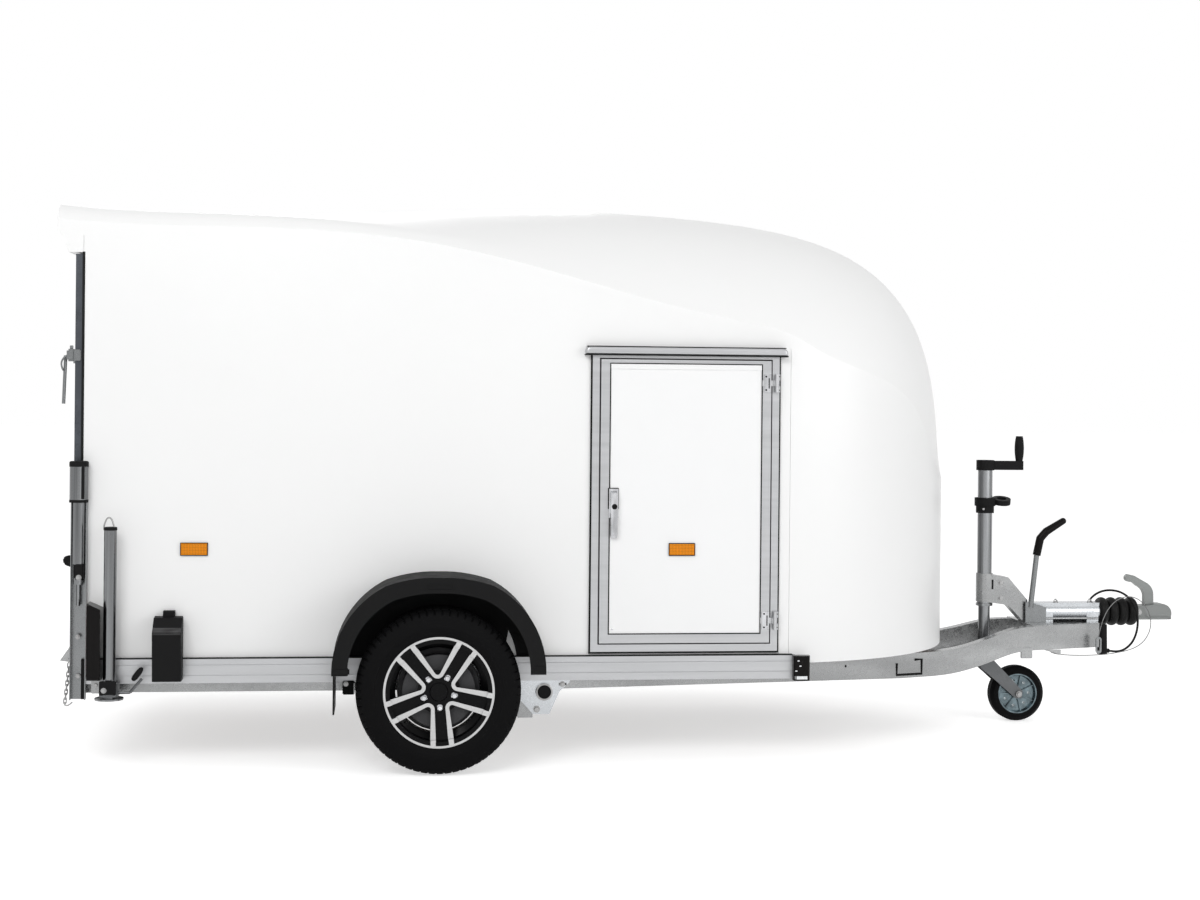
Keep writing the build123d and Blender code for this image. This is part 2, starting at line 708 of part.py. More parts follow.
def guard_face(inset):
    """Arched side view, built from three arcs, shrunk evenly by an inset."""
    height = GUARD_TOP - GUARD_BOTTOM

    def at(name, side):
        across, rise = GUARD_SHARES[name]
        return (side * (across * GUARD_HALF - inset * across), GUARD_BOTTOM + rise * (height - inset))

    half = GUARD_HALF - inset
    low = GUARD_BOTTOM - (CUT if inset else 0)
    top = GUARD_TOP - inset
    edges = [
        Line((half, low), (half, GUARD_BOTTOM)) if inset else None,
        ThreePointArc((half, GUARD_BOTTOM), at("side", 1), at("shoulder", 1)),
        ThreePointArc(at("shoulder", 1), at("crown", 1), (0, top)),
        ThreePointArc((0, top), at("crown", -1), at("shoulder", -1)),
        ThreePointArc(at("shoulder", -1), at("side", -1), (-half, GUARD_BOTTOM)),
        Line((-half, GUARD_BOTTOM), (-half, low)) if inset else None,
        Line((-half, low), (half, low)),
    ]
    return make_face(Wire([edge for edge in edges if edge]))


def guard_solid(inset, y0, y1):
    face = Plane(origin=(0, y0, 0), x_dir=(1, 0, 0), z_dir=(0, -1, 0)) * guard_face(inset)
    return extrude(face, amount=y1 - y0, dir=(0, 1, 0))


def mudguard():
    """Moulded arch over the wheel: a thin top with a deep rolled outer lip, and a rubber flap."""
    inner = BODY_HALF + SEAT_GAP
    arch = guard_solid(0, inner, GUARD_OUT)
    arch -= guard_solid(GUARD_SKIN, inner - CUT, GUARD_OUT - GUARD_SKIN)
    arch -= guard_solid(GUARD_LIP, GUARD_OUT - 2 * CUT, GUARD_OUT + CUT)
    arch += guard_solid(0, inner, inner + GUARD_SKIN) - guard_solid(GUARD_FLANGE, inner - CUT, inner + 2 * CUT)
    arch -= block(-GUARD_MARK_HALF, GUARD_MARK_HALF, GUARD_OUT - GUARD_MARK_DEPTH, GUARD_OUT + CUT,
                  GUARD_MARK_TOP - GUARD_MARK_HEIGHT, GUARD_MARK_TOP)
    rail_clear = block(-GUARD_HALF - CUT, GUARD_HALF + CUT, 0, RAIL_OUT + SEAT_GAP, 0, RAIL_TOP + SEAT_GAP)
    return arch - rail_clear


def mud_flap():
    x = SEAT_GAP * 6 + GUARD_SKIN - GUARD_HALF
    top = GUARD_BOTTOM + FLAP_THICK * 4
    flap = block(x, x + FLAP_THICK, RAIL_OUT + 3 * RUN_GAP, GUARD_OUT - GUARD_SKIN - SEAT_GAP, GUARD_BOTTOM - FLAP_DROP, top)
    return flap


parts["mudguards"] = pair(mudguard())
parts["mud_flaps"] = pair(mud_flap())

# Side door on the right

FRAME_IN = BODY_HALF - WALL
FRAME_OUT = BODY_HALF + DOOR_FRAME_PROUD
door_frame = block(DOOR_REAR, DOOR_FRONT, -FRAME_OUT, -BODY_HALF, DOOR_BOTTOM, DOOR_TOP)
door_frame += block(
    DOOR_REAR + DOOR_FRAME_FACE / 2 + SEAT_GAP, DOOR_FRONT - DOOR_FRAME_FACE / 2 - SEAT_GAP,
    -BODY_HALF, -FRAME_IN,
    DOOR_BOTTOM + DOOR_FRAME_FACE / 2 + SEAT_GAP, DOOR_TOP - DOOR_FRAME_FACE / 2 - SEAT_GAP,
)
OPEN_REAR = DOOR_REAR + DOOR_FRAME_FACE
OPEN_FRONT = DOOR_FRONT - DOOR_FRAME_FACE
OPEN_BOTTOM = DOOR_BOTTOM + DOOR_FRAME_FACE
OPEN_TOP = DOOR_TOP - DOOR_FRAME_FACE
door_frame -= block(OPEN_REAR, OPEN_FRONT, -FRAME_OUT - CUT, -FRAME_IN + CUT, OPEN_BOTTOM, OPEN_TOP)

LEAF_OUT = BODY_HALF + LEAF_PROUD
LEAF_REAR = OPEN_REAR + RUN_GAP
LEAF_FRONT = OPEN_FRONT - RUN_GAP
LEAF_BOTTOM = OPEN_BOTTOM + RUN_GAP
LEAF_TOP = OPEN_TOP - RUN_GAP
leaf_frame = block(LEAF_REAR, LEAF_FRONT, -LEAF_OUT, -LEAF_OUT + LEAF_THICK, LEAF_BOTTOM, LEAF_TOP)
leaf_window = (
    LEAF_REAR + LEAF_BORDER, LEAF_FRONT - LEAF_BORDER,
    LEAF_BOTTOM + LEAF_BORDER, LEAF_TOP - LEAF_BORDER,
)
leaf_frame -= block(leaf_window[0], leaf_window[1], -LEAF_OUT - CUT, -LEAF_OUT + LEAF_THICK + CUT,
                    leaf_window[2], leaf_window[3])
LEAF_PANEL_SINK = 2
parts["side_door_panel"] = block(
    leaf_window[0] + SEAT_GAP, leaf_window[1] - SEAT_GAP,
    -LEAF_OUT + LEAF_PANEL_SINK, -LEAF_OUT + LEAF_THICK - LEAF_PANEL_SINK,
    leaf_window[2] + SEAT_GAP, leaf_window[3] - SEAT_GAP,
)

DRIP_GAP = 1
drip_z = DOOR_TOP + DRIP_GAP - DRIP_HEIGHT / 2
drip = block(DOOR_REAR - DRIP_OVERHANG, DOOR_FRONT + DRIP_OVERHANG, -BODY_HALF - DRIP_DEPTH, -BODY_HALF,
             drip_z, drip_z + DRIP_HEIGHT)
drip = fillet(drip.edges().filter_by(Axis.Y).group_by(Axis.Z)[-1], DRIP_HEIGHT * 0.6)
drip = fillet(drip.edges().filter_by(Axis.X).group_by(Axis.Y)[0], DRIP_HEIGHT / 3)
parts["drip_rail"] = drip - block(
    DOOR_REAR - SEAT_GAP, DOOR_FRONT + SEAT_GAP, -FRAME_OUT - SEAT_GAP, 0, 0, DOOR_TOP + SEAT_GAP
)

HANDLE_X = 632
HANDLE_BOTTOM = 819
HANDLE_TOP = 998
HANDLE_WIDTH = 34
HANDLE_DEPTH = 26
HANDLE_BASE = 5
handle_half = HANDLE_WIDTH / 2
handle_base = block(HANDLE_X - handle_half, HANDLE_X + handle_half, -LEAF_OUT - HANDLE_BASE, -LEAF_OUT,
                    (HANDLE_BOTTOM + HANDLE_TOP) / 2 - handle_half, HANDLE_TOP)
handle_grip = prism_x(
    [
        (-LEAF_OUT - HANDLE_BASE, HANDLE_TOP - handle_half / 2),
        (-LEAF_OUT - HANDLE_DEPTH, HANDLE_TOP - handle_half),
        (-LEAF_OUT - HANDLE_DEPTH, HANDLE_BOTTOM + handle_half),
        (-LEAF_OUT - HANDLE_DEPTH / 2, HANDLE_BOTTOM),
        (-LEAF_OUT - HANDLE_BASE * 2, HANDLE_BOTTOM + handle_half),
        (-LEAF_OUT - HANDLE_BASE * 2, (HANDLE_BOTTOM + HANDLE_TOP) / 2),
        (-LEAF_OUT - HANDLE_BASE, (HANDLE_BOTTOM + HANDLE_TOP) / 2),
    ],
    HANDLE_X - handle_half * 0.7, HANDLE_X + handle_half * 0.7,
)
parts["side_door_handle"] = handle_base + handle_grip


def hinge_halves():
    """Two hinges: knuckle and plate on the leaf, knuckles, pin and plate on the frame."""
    moving = []
    fixed = []
    third = HINGE_LENGTH / 3
    clear = HINGE_PIN_RADIUS + STUB_CLEARANCE
    for z in HINGE_PLACES:
        low = z - HINGE_LENGTH / 2
        y = -DOOR_PIVOT_OUT
        knuckle = rod_z(DOOR_PIVOT_X, y, HINGE_RADIUS, low + third + SEAT_GAP, low + 2 * third - SEAT_GAP)
        plate = block(LEAF_FRONT - LEAF_BORDER, DOOR_PIVOT_X - HINGE_RADIUS / 2, -LEAF_OUT - HINGE_PIN_RADIUS, -LEAF_OUT,
                      low + third + SEAT_GAP, low + 2 * third - SEAT_GAP)
        plate += block(DOOR_PIVOT_X - HINGE_RADIUS - HINGE_PIN_RADIUS, DOOR_PIVOT_X - HINGE_RADIUS / 2, y, -LEAF_OUT,
                       low + third + SEAT_GAP, low + 2 * third - SEAT_GAP)
        leaf_half = knuckle + plate
        leaf_half -= rod_z(DOOR_PIVOT_X, y, clear, low - CUT, low + HINGE_LENGTH + CUT)
        moving.append(leaf_half)
        frame_half = rod_z(DOOR_PIVOT_X, y, HINGE_RADIUS, low, low + third)
        frame_half += rod_z(DOOR_PIVOT_X, y, HINGE_RADIUS, low + 2 * third, low + HINGE_LENGTH)
        frame_half += rod_z(DOOR_PIVOT_X, y, HINGE_PIN_RADIUS, low, low + HINGE_LENGTH)
        for start in (low, low + 2 * third):
            frame_half += block(DOOR_PIVOT_X, DOOR_FRONT, y, -FRAME_OUT, start, start + third)
        fixed.append(frame_half)
    return solids_of(*moving), solids_of(*fixed)


leaf_halves, frame_halves = hinge_halves()
parts["side_door_leaf"] = leaf_frame + leaf_halves
parts["side_door_frame"] = door_frame + frame_halves

# Rear portal, ramp and its latches

PORTAL_WIDTH = 40
PORTAL_DEPTH = 40
PORTAL_TOP = 1815
portal_in = BODY_HALF - WALL - PORTAL_WIDTH
portal_out = BODY_HALF - WALL - SEAT_GAP
floor_top = FLOOR_BOTTOM + FLOOR_THICK
portal_front = -WALL_REAR + PORTAL_DEPTH
portal = block(-WALL_REAR, portal_front, -portal_out, portal_out, FLOOR_BOTTOM + SEAT_GAP, PORTAL_TOP)
portal -= block(-WALL_REAR - CUT, portal_front + CUT, -portal_in, portal_in, 0, PORTAL_TOP - PORTAL_WIDTH)
parts["rear_portal"] = portal
notch = block(-WALL_REAR, portal_front + SEAT_GAP, portal_in - SEAT_GAP, BODY_HALF, 0, CREST)
parts["floor"] = parts["floor"] - notch - other_side(notch)

ramp_front = WALL_REAR + RUN_GAP
ramp_frame = block(-RAMP_REAR, -ramp_front, -RAMP_HALF, RAMP_HALF, RAMP_BOTTOM, RAMP_TOP)
ramp_frame -= block(-RAMP_REAR - CUT, -ramp_front + CUT, -RAMP_HALF + RAMP_RIB, RAMP_HALF - RAMP_RIB,
                    RAMP_BOTTOM + RAMP_RIB, RAMP_TOP - RAMP_RIB)
parts["ramp_panel"] = block(
    -RAMP_REAR + RAMP_SKIN_INSET, -ramp_front - RAMP_SKIN_INSET,
    -RAMP_HALF + RAMP_RIB + SEAT_GAP, RAMP_HALF - RAMP_RIB - SEAT_GAP,
    RAMP_BOTTOM + RAMP_RIB + SEAT_GAP, RAMP_TOP - RAMP_RIB - SEAT_GAP,
)

RAMP_KNUCKLES_SHARES = (-0.82, -0.3, 0.3, 0.82)
KNUCKLE_LENGTH = 60
KNUCKLE_RADIUS = 6.7
KNUCKLE_PIN = 3.5


def ramp_hinges():
    """Hinges under the ramp: knuckle on the ramp between knuckles on the rear member."""
    moving = []
    fixed = []
    third = KNUCKLE_LENGTH / 3
    for share in RAMP_KNUCKLES_SHARES:
        low = share * RAMP_HALF - KNUCKLE_LENGTH / 2
        x = -RAMP_PIVOT_X
        z = RAMP_PIVOT_Z - KNUCKLE_RADIUS
        knuckle = rod_y(x, RAMP_PIVOT_Z, KNUCKLE_RADIUS, low + third + SEAT_GAP, low + 2 * third - SEAT_GAP)
        knuckle += block(x - KNUCKLE_PIN, x + KNUCKLE_PIN, low + third + SEAT_GAP, low + 2 * third - SEAT_GAP,
                         RAMP_PIVOT_Z, RAMP_BOTTOM)
        moving.append(knuckle - rod_y(x, RAMP_PIVOT_Z, KNUCKLE_PIN + STUB_CLEARANCE, low, low + KNUCKLE_LENGTH))
        pin = rod_y(x, RAMP_PIVOT_Z, KNUCKLE_PIN, low, low + KNUCKLE_LENGTH)
        for start in (low, low + 2 * third):
            pin += rod_y(x, RAMP_PIVOT_Z, KNUCKLE_RADIUS, start, start + third)
            pin += block(x, -FLOOR_REAR, start, start + third, z, RAMP_PIVOT_Z - KNUCKLE_PIN / 2)
        fixed.append(pin)
    return solids_of(*moving), solids_of(*fixed)


ramp_halves, parts["ramp_hinges"] = ramp_hinges()
parts["ramp_frame"] = ramp_frame + ramp_halves

LATCH_Z = 1455
LATCH_LENGTH = 165
LATCH_REACH = 42
LATCH_WIDTH = 22
LATCH_BASE = 6


def ramp_latch():
    """Over-centre latch: a plate on the ramp, a screw and a hanging lever."""
    y1 = RAMP_HALF
    back = -RAMP_REAR
    base = block(back - LATCH_BASE, back, y1 - 2 * LATCH_WIDTH, y1, LATCH_Z - LATCH_WIDTH, LATCH_Z + LATCH_WIDTH)
    screw = rod_x(y1 - LATCH_WIDTH, LATCH_Z, LATCH_BASE, back - LATCH_REACH, back)
    lever = strut(
        (back - LATCH_REACH + LATCH_BASE, y1 - LATCH_WIDTH, LATCH_Z + LATCH_BASE),
        (back - LATCH_REACH, y1 - LATCH_WIDTH, LATCH_Z - LATCH_LENGTH),
        LATCH_BASE,
    )
    return base + screw + lever


latches = ramp_latch()
parts["ramp_latches"] = solids_of(latches, other_side(latches))

# Rear posts with the ramp's lifting springs

POST_REAR = 1291
POST_FRONT = 1236
POST_BOTTOM = 248
POST_TOP = 950
POST_DEPTH = 30
POST_WALL = 3
SPRING_SLEEVE_RADIUS = 32
SPRING_SLEEVE_BOTTOM = 940
SPRING_SLEEVE_TOP = 1082
SPRING_TUBE_RADIUS = 22
SPRING_TUBE_BOTTOM = 728
SPRING_END_RADIUS = 17
SPRING_END_BOTTOM = 655
SPRING_ROD_RADIUS = 7
SPRING_ROD_BOTTOM = 580
post_in = BODY_HALF + SEAT_GAP
post_out = post_in + POST_DEPTH
rear_post = block(-POST_REAR, -POST_FRONT, post_in, post_out, POST_BOTTOM, POST_TOP)
rear_post -= block(-POST_REAR + POST_WALL, -POST_FRONT - POST_WALL, post_in + POST_WALL, post_out + CUT,
                   POST_BOTTOM - CUT, POST_TOP + CUT)
rear_post -= block(-WALL_REAR + RUN_GAP, -POST_FRONT + CUT, 0, RAIL_OUT + SEAT_GAP, POST_BOTTOM - CUT, RAIL_TOP)
spring_x = -(POST_REAR + POST_FRONT) / 2
spring_y = post_in + POST_WALL + SPRING_TUBE_RADIUS
sleeve_y = post_in + SPRING_SLEEVE_RADIUS
spring = rod_z(spring_x, sleeve_y, SPRING_SLEEVE_RADIUS, POST_TOP, SPRING_SLEEVE_TOP)
spring += rod_z(spring_x, spring_y, SPRING_TUBE_RADIUS, SPRING_TUBE_BOTTOM, POST_TOP)
spring += rod_z(spring_x, spring_y, SPRING_END_RADIUS, SPRING_END_BOTTOM, SPRING_TUBE_BOTTOM)
spring += rod_z(spring_x, spring_y, SPRING_ROD_RADIUS, SPRING_ROD_BOTTOM, SPRING_END_BOTTOM)
parts["rear_posts"] = pair(rear_post)
parts["ramp_springs"] = pair(spring)

# Rear lamps, marker lamps and reflectors

LAMP_REAR = 1222
LAMP_FRONT = 1176
LAMP_GAP = 6
LAMP_WIDTH = 80
LAMP_IN = RAIL_OUT + LAMP_GAP
LAMP_OUT = LAMP_IN + LAMP_WIDTH
LAMP_BOTTOM = 325
LAMP_TOP = 598
LAMP_CORNER = 14
LENS_DEPTH = 6
LENS_PROUD = 1
LAMP_SLANT = 26
MARKER_REAR = 1299
MARKER_FRONT = 1360
MARKER_BOTTOM = 299
MARKER_TOP = 390
MARKER_DEPTH = 34
REFLECTOR_LENGTH = 94
REFLECTOR_HEIGHT = 43
REFLECTOR_DEPTH = 6
REFLECTOR_Z = 777
BODY_REFLECTOR_X = -867
DOOR_REFLECTOR_X = 885

lamp = block(-LAMP_REAR, -LAMP_FRONT, LAMP_IN, LAMP_OUT, LAMP_BOTTOM, LAMP_TOP)
lamp = fillet(lamp.edges().filter_by(Axis.X), LAMP_CORNER)
lamp -= prism_y([(-LAMP_REAR - CUT, LAMP_TOP), (-LAMP_FRONT + CUT, LAMP_TOP - LAMP_SLANT), (-LAMP_FRONT + CUT, LAMP_TOP + CUT),
                 (-LAMP_REAR - CUT, LAMP_TOP + CUT)], LAMP_IN - CUT, LAMP_OUT + CUT)
lamp_arm = block(-LAMP_REAR + LENS_DEPTH, -LAMP_FRONT - LENS_DEPTH, RAIL_OUT, LAMP_IN, RAIL_TOP - 2 * LAMP_CORNER, RAIL_TOP)
lamp_housing = lamp + lamp_arm
lens = block(-LAMP_REAR - LENS_PROUD, -LAMP_REAR + LENS_DEPTH, LAMP_IN + LAMP_CORNER / 2, LAMP_OUT - LAMP_CORNER / 2,
             LAMP_BOTTOM + LAMP_CORNER, LAMP_TOP - 2 * LAMP_CORNER)
lens_seat = block(-LAMP_REAR - CUT, -LAMP_REAR + LENS_DEPTH + SEAT_GAP, LAMP_IN + LAMP_CORNER / 2 - SEAT_GAP,
                  LAMP_OUT - LAMP_CORNER / 2 + SEAT_GAP, LAMP_BOTTOM + LAMP_CORNER - SEAT_GAP,
                  LAMP_TOP - 2 * LAMP_CORNER + SEAT_GAP)
lamp_housing -= lens_seat
marker = block(MARKER_REAR, MARKER_FRONT, RAIL_OUT, RAIL_OUT + MARKER_DEPTH, MARKER_BOTTOM, MARKER_TOP)
marker = fillet(marker.edges().filter_by(Axis.Z).group_by(Axis.Y)[-1], LAMP_CORNER)


def reflector(x, y0):
    half = REFLECTOR_LENGTH / 2
    plate = block(x - half, x + half, y0, y0 + REFLECTOR_DEPTH, REFLECTOR_Z - REFLECTOR_HEIGHT / 2,
                  REFLECTOR_Z + REFLECTOR_HEIGHT / 2)
    return chamfer(plate.faces().sort_by(Axis.Y)[-1].edges(), REFLECTOR_DEPTH / 3)


parts["lamp_housings"] = pair(lamp_housing)
parts["lamp_lenses"] = pair(lens)
parts["marker_lamps"] = pair(marker)
parts["side_reflectors"] = pair(reflector(BODY_REFLECTOR_X, BODY_HALF))
parts["door_reflector"] = other_side(reflector(DOOR_REFLECTOR_X, LEAF_OUT - LEAF_PANEL_SINK))

# Wheel chocks in their holders

CHOCK_X = -950
CHOCK_HALF = 50
CHOCK_TAB_HALF = 20
CHOCK_BOTTOM = 318
CHOCK_TOP = 538
CHOCK_TAB_TOP = 560
CHOCK_LIP = 489
CHOCK_DEPTH = 78
chock_in = RAIL_OUT + SEAT_GAP
chock_out = RAIL_OUT + CHOCK_DEPTH
chock = prism_x(
    [
        (chock_in, CHOCK_BOTTOM),
        (chock_out - 3 * CUT, CHOCK_BOTTOM),
        (chock_out, CHOCK_LIP),
        (chock_in + CHOCK_DEPTH / 3, CHOCK_TOP),
        (chock_in, CHOCK_TOP),
    ],
    CHOCK_X - CHOCK_HALF, CHOCK_X + CHOCK_HALF,
)
chock += block(CHOCK_X - CHOCK_TAB_HALF, CHOCK_X + CHOCK_TAB_HALF, BODY_HALF + SEAT_GAP, chock_in + CUT * 2,
               CHOCK_LIP, CHOCK_TAB_TOP)
parts["wheel_chocks"] = pair(chock)

# Parking legs at the rear corners

CLAMP_HALF = 32
CLAMP_WALL = 5
CLAMP_BOTTOM = 268
CLAMP_HEIGHT = 46
LEG_CLEARANCE = 0.3
clamp_in = BEAM_OUT
clamp = block(-LEG_X - CLAMP_HALF, -LEG_X + CLAMP_HALF, LEG_OUT - CLAMP_HALF, LEG_OUT + CLAMP_HALF,
              CLAMP_BOTTOM, CLAMP_BOTTOM + CLAMP_HEIGHT)
clamp = fillet(clamp.edges().filter_by(Axis.Z).group_by(Axis.Y)[-1], CLAMP_HALF / 2)
clamp += block(-LEG_X - CLAMP_HALF / 2, -LEG_X + CLAMP_HALF / 2, clamp_in, LEG_OUT - CLAMP_HALF,
               CLAMP_BOTTOM, RAIL_TOP - RAIL_HEIGHT - SEAT_GAP)
clamp -= rod_z(-LEG_X, LEG_OUT, LEG_RADIUS + LEG_CLEARANCE, CLAMP_BOTTOM - CUT, CLAMP_BOTTOM + CLAMP_HEIGHT + CUT)
LEVER_LENGTH = 80
LEVER_RISE = 48
clamp_lever = strut(
    (-LEG_X + CLAMP_HALF - CLAMP_WALL, LEG_OUT, CLAMP_BOTTOM + CLAMP_HEIGHT / 4),
    (-LEG_X + CLAMP_HALF + LEVER_LENGTH / 2, LEG_OUT, CLAMP_BOTTOM + CLAMP_HEIGHT / 4),
    CLAMP_WALL,
)
clamp_lever += strut(
    (-LEG_X + CLAMP_HALF + LEVER_LENGTH / 2, LEG_OUT, CLAMP_BOTTOM + CLAMP_HEIGHT / 4),
    (-LEG_X + CLAMP_HALF + LEVER_LENGTH, LEG_OUT, CLAMP_BOTTOM + CLAMP_HEIGHT / 4 + LEVER_RISE),
    CLAMP_WALL,
)
leg = rod_z(-LEG_X, LEG_OUT, LEG_RADIUS, LEG_BOTTOM, LEG_TOP)
leg += rod_z(-LEG_X, LEG_OUT, LEG_FOOT_RADIUS, LEG_BOTTOM - LEG_FOOT_THICK, LEG_BOTTOM)
parts["leg_clamps"] = pair(clamp + clamp_lever)
parts["leg_left"] = leg
parts["leg_right"] = other_side(leg)

# Overrun housing, bellows, coupling and hand brake

HOUSING_REAR = 2484
HOUSING_FRONT = 2772
HOUSING_Z = 451
HOUSING_RADIUS = 39
HOUSING_SADDLE_HALF = 40
HOUSING_SHEET_SHARE = 0.8
BELLOWS_RADIUS = 59
BELLOWS_ROOT_RADIUS = 42
BELLOWS_FRONT = 2938
BELLOWS_FOLDS = 4
BELLOWS_BORE = 24
COUPLING_REAR = BELLOWS_FRONT
COUPLING_TOP = 484
COUPLING_BOTTOM = 420
COUPLING_HALF = 32
COUPLING_FLANGE = 9
COUPLING_NOSE = 46
GRIP_FOOT_X = 2995
GRIP_HALF = 20
GRIP_WIDTH = 26
BALL_X = 3046
BALL_RADIUS = 25.2
SOCKET_DEPTH = 30

housing = rod_x(0, HOUSING_Z, HOUSING_RADIUS, HOUSING_REAR, HOUSING_FRONT)
saddle_low = PLATE_TOP + SEAT_GAP
for share in (0.12, 0.8):
    x = HOUSING_REAR + share * (HOUSING_FRONT - HOUSING_REAR)
    saddle = block(x, x + CROSS_WIDTH, -HOUSING_SADDLE_HALF, HOUSING_SADDLE_HALF, saddle_low, HOUSING_Z)
    housing += saddle
top_half = HOUSING_RADIUS * HOUSING_SHEET_SHARE
housing += block(HOUSING_REAR, HOUSING_FRONT, -top_half, top_half, HOUSING_Z, HOUSING_Z + HOUSING_RADIUS)
parts["overrun_housing"] = housing


def bellows():
    """Rubber bellows with four round folds over the coupling's shaft."""
    start = HOUSING_FRONT
    pitch = (BELLOWS_FRONT - start) / BELLOWS_FOLDS
    edges = [Line((start, BELLOWS_BORE), (start, BELLOWS_ROOT_RADIUS))]
    for fold in range(BELLOWS_FOLDS):
        x = start + fold * pitch
        edges.append(
            ThreePointArc((x, BELLOWS_ROOT_RADIUS), (x + pitch / 2, BELLOWS_RADIUS), (x + pitch, BELLOWS_ROOT_RADIUS))
        )
    end = start + BELLOWS_FOLDS * pitch
    edges.append(Line((end, BELLOWS_ROOT_RADIUS), (end, BELLOWS_BORE)))
    edges.append(Line((end, BELLOWS_BORE), (start, BELLOWS_BORE)))
    ring = revolve(make_face(Wire(edges)), axis=Axis.X)
    return Pos(0, 0, HOUSING_Z) * ring


parts["bellows"] = bellows()

shaft = rod_x(0, HOUSING_Z, BELLOWS_BORE - SEAT_GAP, HOUSING_FRONT, COUPLING_REAR)
head_low = COUPLING_BOTTOM + COUPLING_FLANGE
dome_top = COUPLING_TOP
dome_rear = COUPLING_REAR
shoulder_x = COUPLING_TIP - COUPLING_NOSE
coupling_edges = [
    Line((dome_rear, 0, head_low), (dome_rear, 0, dome_top - COUPLING_FLANGE)),
    Line((dome_rear, 0, dome_top - COUPLING_FLANGE), (GRIP_FOOT_X, 0, dome_top - COUPLING_FLANGE / 2)),
    Line((GRIP_FOOT_X, 0, dome_top - COUPLING_FLANGE / 2), (GRIP_FOOT_X + GRIP_HALF, 0, dome_top)),
    Line((GRIP_FOOT_X + GRIP_HALF, 0, dome_top), (shoulder_x, 0, dome_top)),
    ThreePointArc((shoulder_x, 0, dome_top), (COUPLING_TIP - COUPLING_NOSE * 0.35, 0, dome_top - COUPLING_NOSE * 0.3),
                  (COUPLING_TIP - COUPLING_FLANGE, 0, head_low)),
    Line((COUPLING_TIP - COUPLING_FLANGE, 0, head_low), (dome_rear, 0, head_low)),
]
coupling_face = Pos(0, -COUPLING_HALF, 0) * make_face(Wire(coupling_edges))
coupling = extrude(coupling_face, amount=2 * COUPLING_HALF, dir=(0, 1, 0))
flange_half = COUPLING_HALF + COUPLING_FLANGE
flange = block(COUPLING_REAR, COUPLING_TIP, -flange_half, flange_half, COUPLING_BOTTOM, head_low)
coupling += fillet(flange.edges().filter_by(Axis.Z).group_by(Axis.X)[-1], flange_half * 0.8)
socket = rod_z(BALL_X, 0, BALL_RADIUS, COUPLING_BOTTOM - CUT, COUPLING_BOTTOM + SOCKET_DEPTH)
socket += Pos(BALL_X, 0, COUPLING_BOTTOM + SOCKET_DEPTH) * Sphere(BALL_RADIUS)
parts["coupling"] = (coupling - socket) + shaft

# Side-view outline of the hand grip from its foot: outer edge up to the knob, inner edge back down, (x, z)
GRIP_OUTER = ((3014, 525), (3006, 550), (2988, 569), (2960, 585), (2930, 601))
GRIP_KNOB = ((2907, 606), (2893, 592), (2907, 575))
GRIP_INNER = ((2923, 574), (2944, 557), (2966, 540), (2975, 516))
grip_foot_z = COUPLING_TOP - COUPLING_FLANGE / 2
grip_out = [(x, 0, z) for x, z in GRIP_OUTER]
grip_knob = [(x, 0, z) for x, z in GRIP_KNOB]
grip_in = [(x, 0, z) for x, z in GRIP_INNER]
grip_front = (GRIP_FOOT_X + GRIP_HALF, 0, grip_foot_z)
grip_rear = (GRIP_FOOT_X - GRIP_HALF, 0, grip_foot_z)
grip_edges = [
    Line(grip_front, grip_out[0]),
    ThreePointArc(grip_out[0], grip_out[1], grip_out[2]),
    Line(grip_out[2], grip_out[4]),
    Line(grip_out[4], grip_knob[0]),
    ThreePointArc(*grip_knob),
    Line(grip_knob[2], grip_in[0]),
    Line(grip_in[0], grip_in[1]),
    ThreePointArc(grip_in[1], grip_in[2], grip_in[3]),
    Line(grip_in[3], grip_rear),
    Line(grip_rear, grip_front),
]
grip_face = Pos(0, -GRIP_WIDTH / 2, 0) * make_face(Wire(grip_edges))
handle_grip_bar = extrude(grip_face, amount=GRIP_WIDTH, dir=(0, 1, 0))
parts["coupling_handle"] = handle_grip_bar - parts["coupling"]

BRAKE_FOOT_X = 2468
BRAKE_FOOT_Z = 474
BRAKE_KNEE_X = 2492
BRAKE_KNEE_Z = 690
BRAKE_BEND_X = 2507
BRAKE_BEND_Z = 760
BRAKE_ELBOW_X = 2532
BRAKE_ELBOW_Z = 788
BRAKE_TIP_X = 2604
BRAKE_TIP_Z = 832
BRAKE_RADIUS = 11
BRAKE_GRIP_RADIUS = 16.5
BRAKE_GRIP_TAPER = 3
BRAKE_Y = -50
BRAKE_PLATE = 8
brake_plate = prism_y(
    [
        (BRAKE_FOOT_X - 2 * BRAKE_RADIUS, PLATE_TOP + SEAT_GAP),
        (BRAKE_FOOT_X + 6 * BRAKE_RADIUS, PLATE_TOP + SEAT_GAP),
        (BRAKE_FOOT_X + 6 * BRAKE_RADIUS, BRAKE_FOOT_Z),
        (BRAKE_FOOT_X + 3 * BRAKE_RADIUS, BRAKE_FOOT_Z + BRAKE_RADIUS),
        (BRAKE_FOOT_X - 2 * BRAKE_RADIUS, BRAKE_FOOT_Z + 2 * BRAKE_RADIUS),
    ],
    BRAKE_Y - BRAKE_PLATE / 2, BRAKE_Y + BRAKE_PLATE / 2,
)
brake_bar = strut((BRAKE_FOOT_X, BRAKE_Y, BRAKE_FOOT_Z), (BRAKE_KNEE_X, BRAKE_Y, BRAKE_KNEE_Z), BRAKE_RADIUS)
parts["brake_lever"] = brake_plate + brake_bar
knee, bend, elbow, grip_tip = (
    (BRAKE_KNEE_X, BRAKE_Y, BRAKE_KNEE_Z), (BRAKE_BEND_X, BRAKE_Y, BRAKE_BEND_Z),
    (BRAKE_ELBOW_X, BRAKE_Y, BRAKE_ELBOW_Z), (BRAKE_TIP_X, BRAKE_Y, BRAKE_TIP_Z),
)
tip_radius = BRAKE_GRIP_RADIUS - BRAKE_GRIP_TAPER
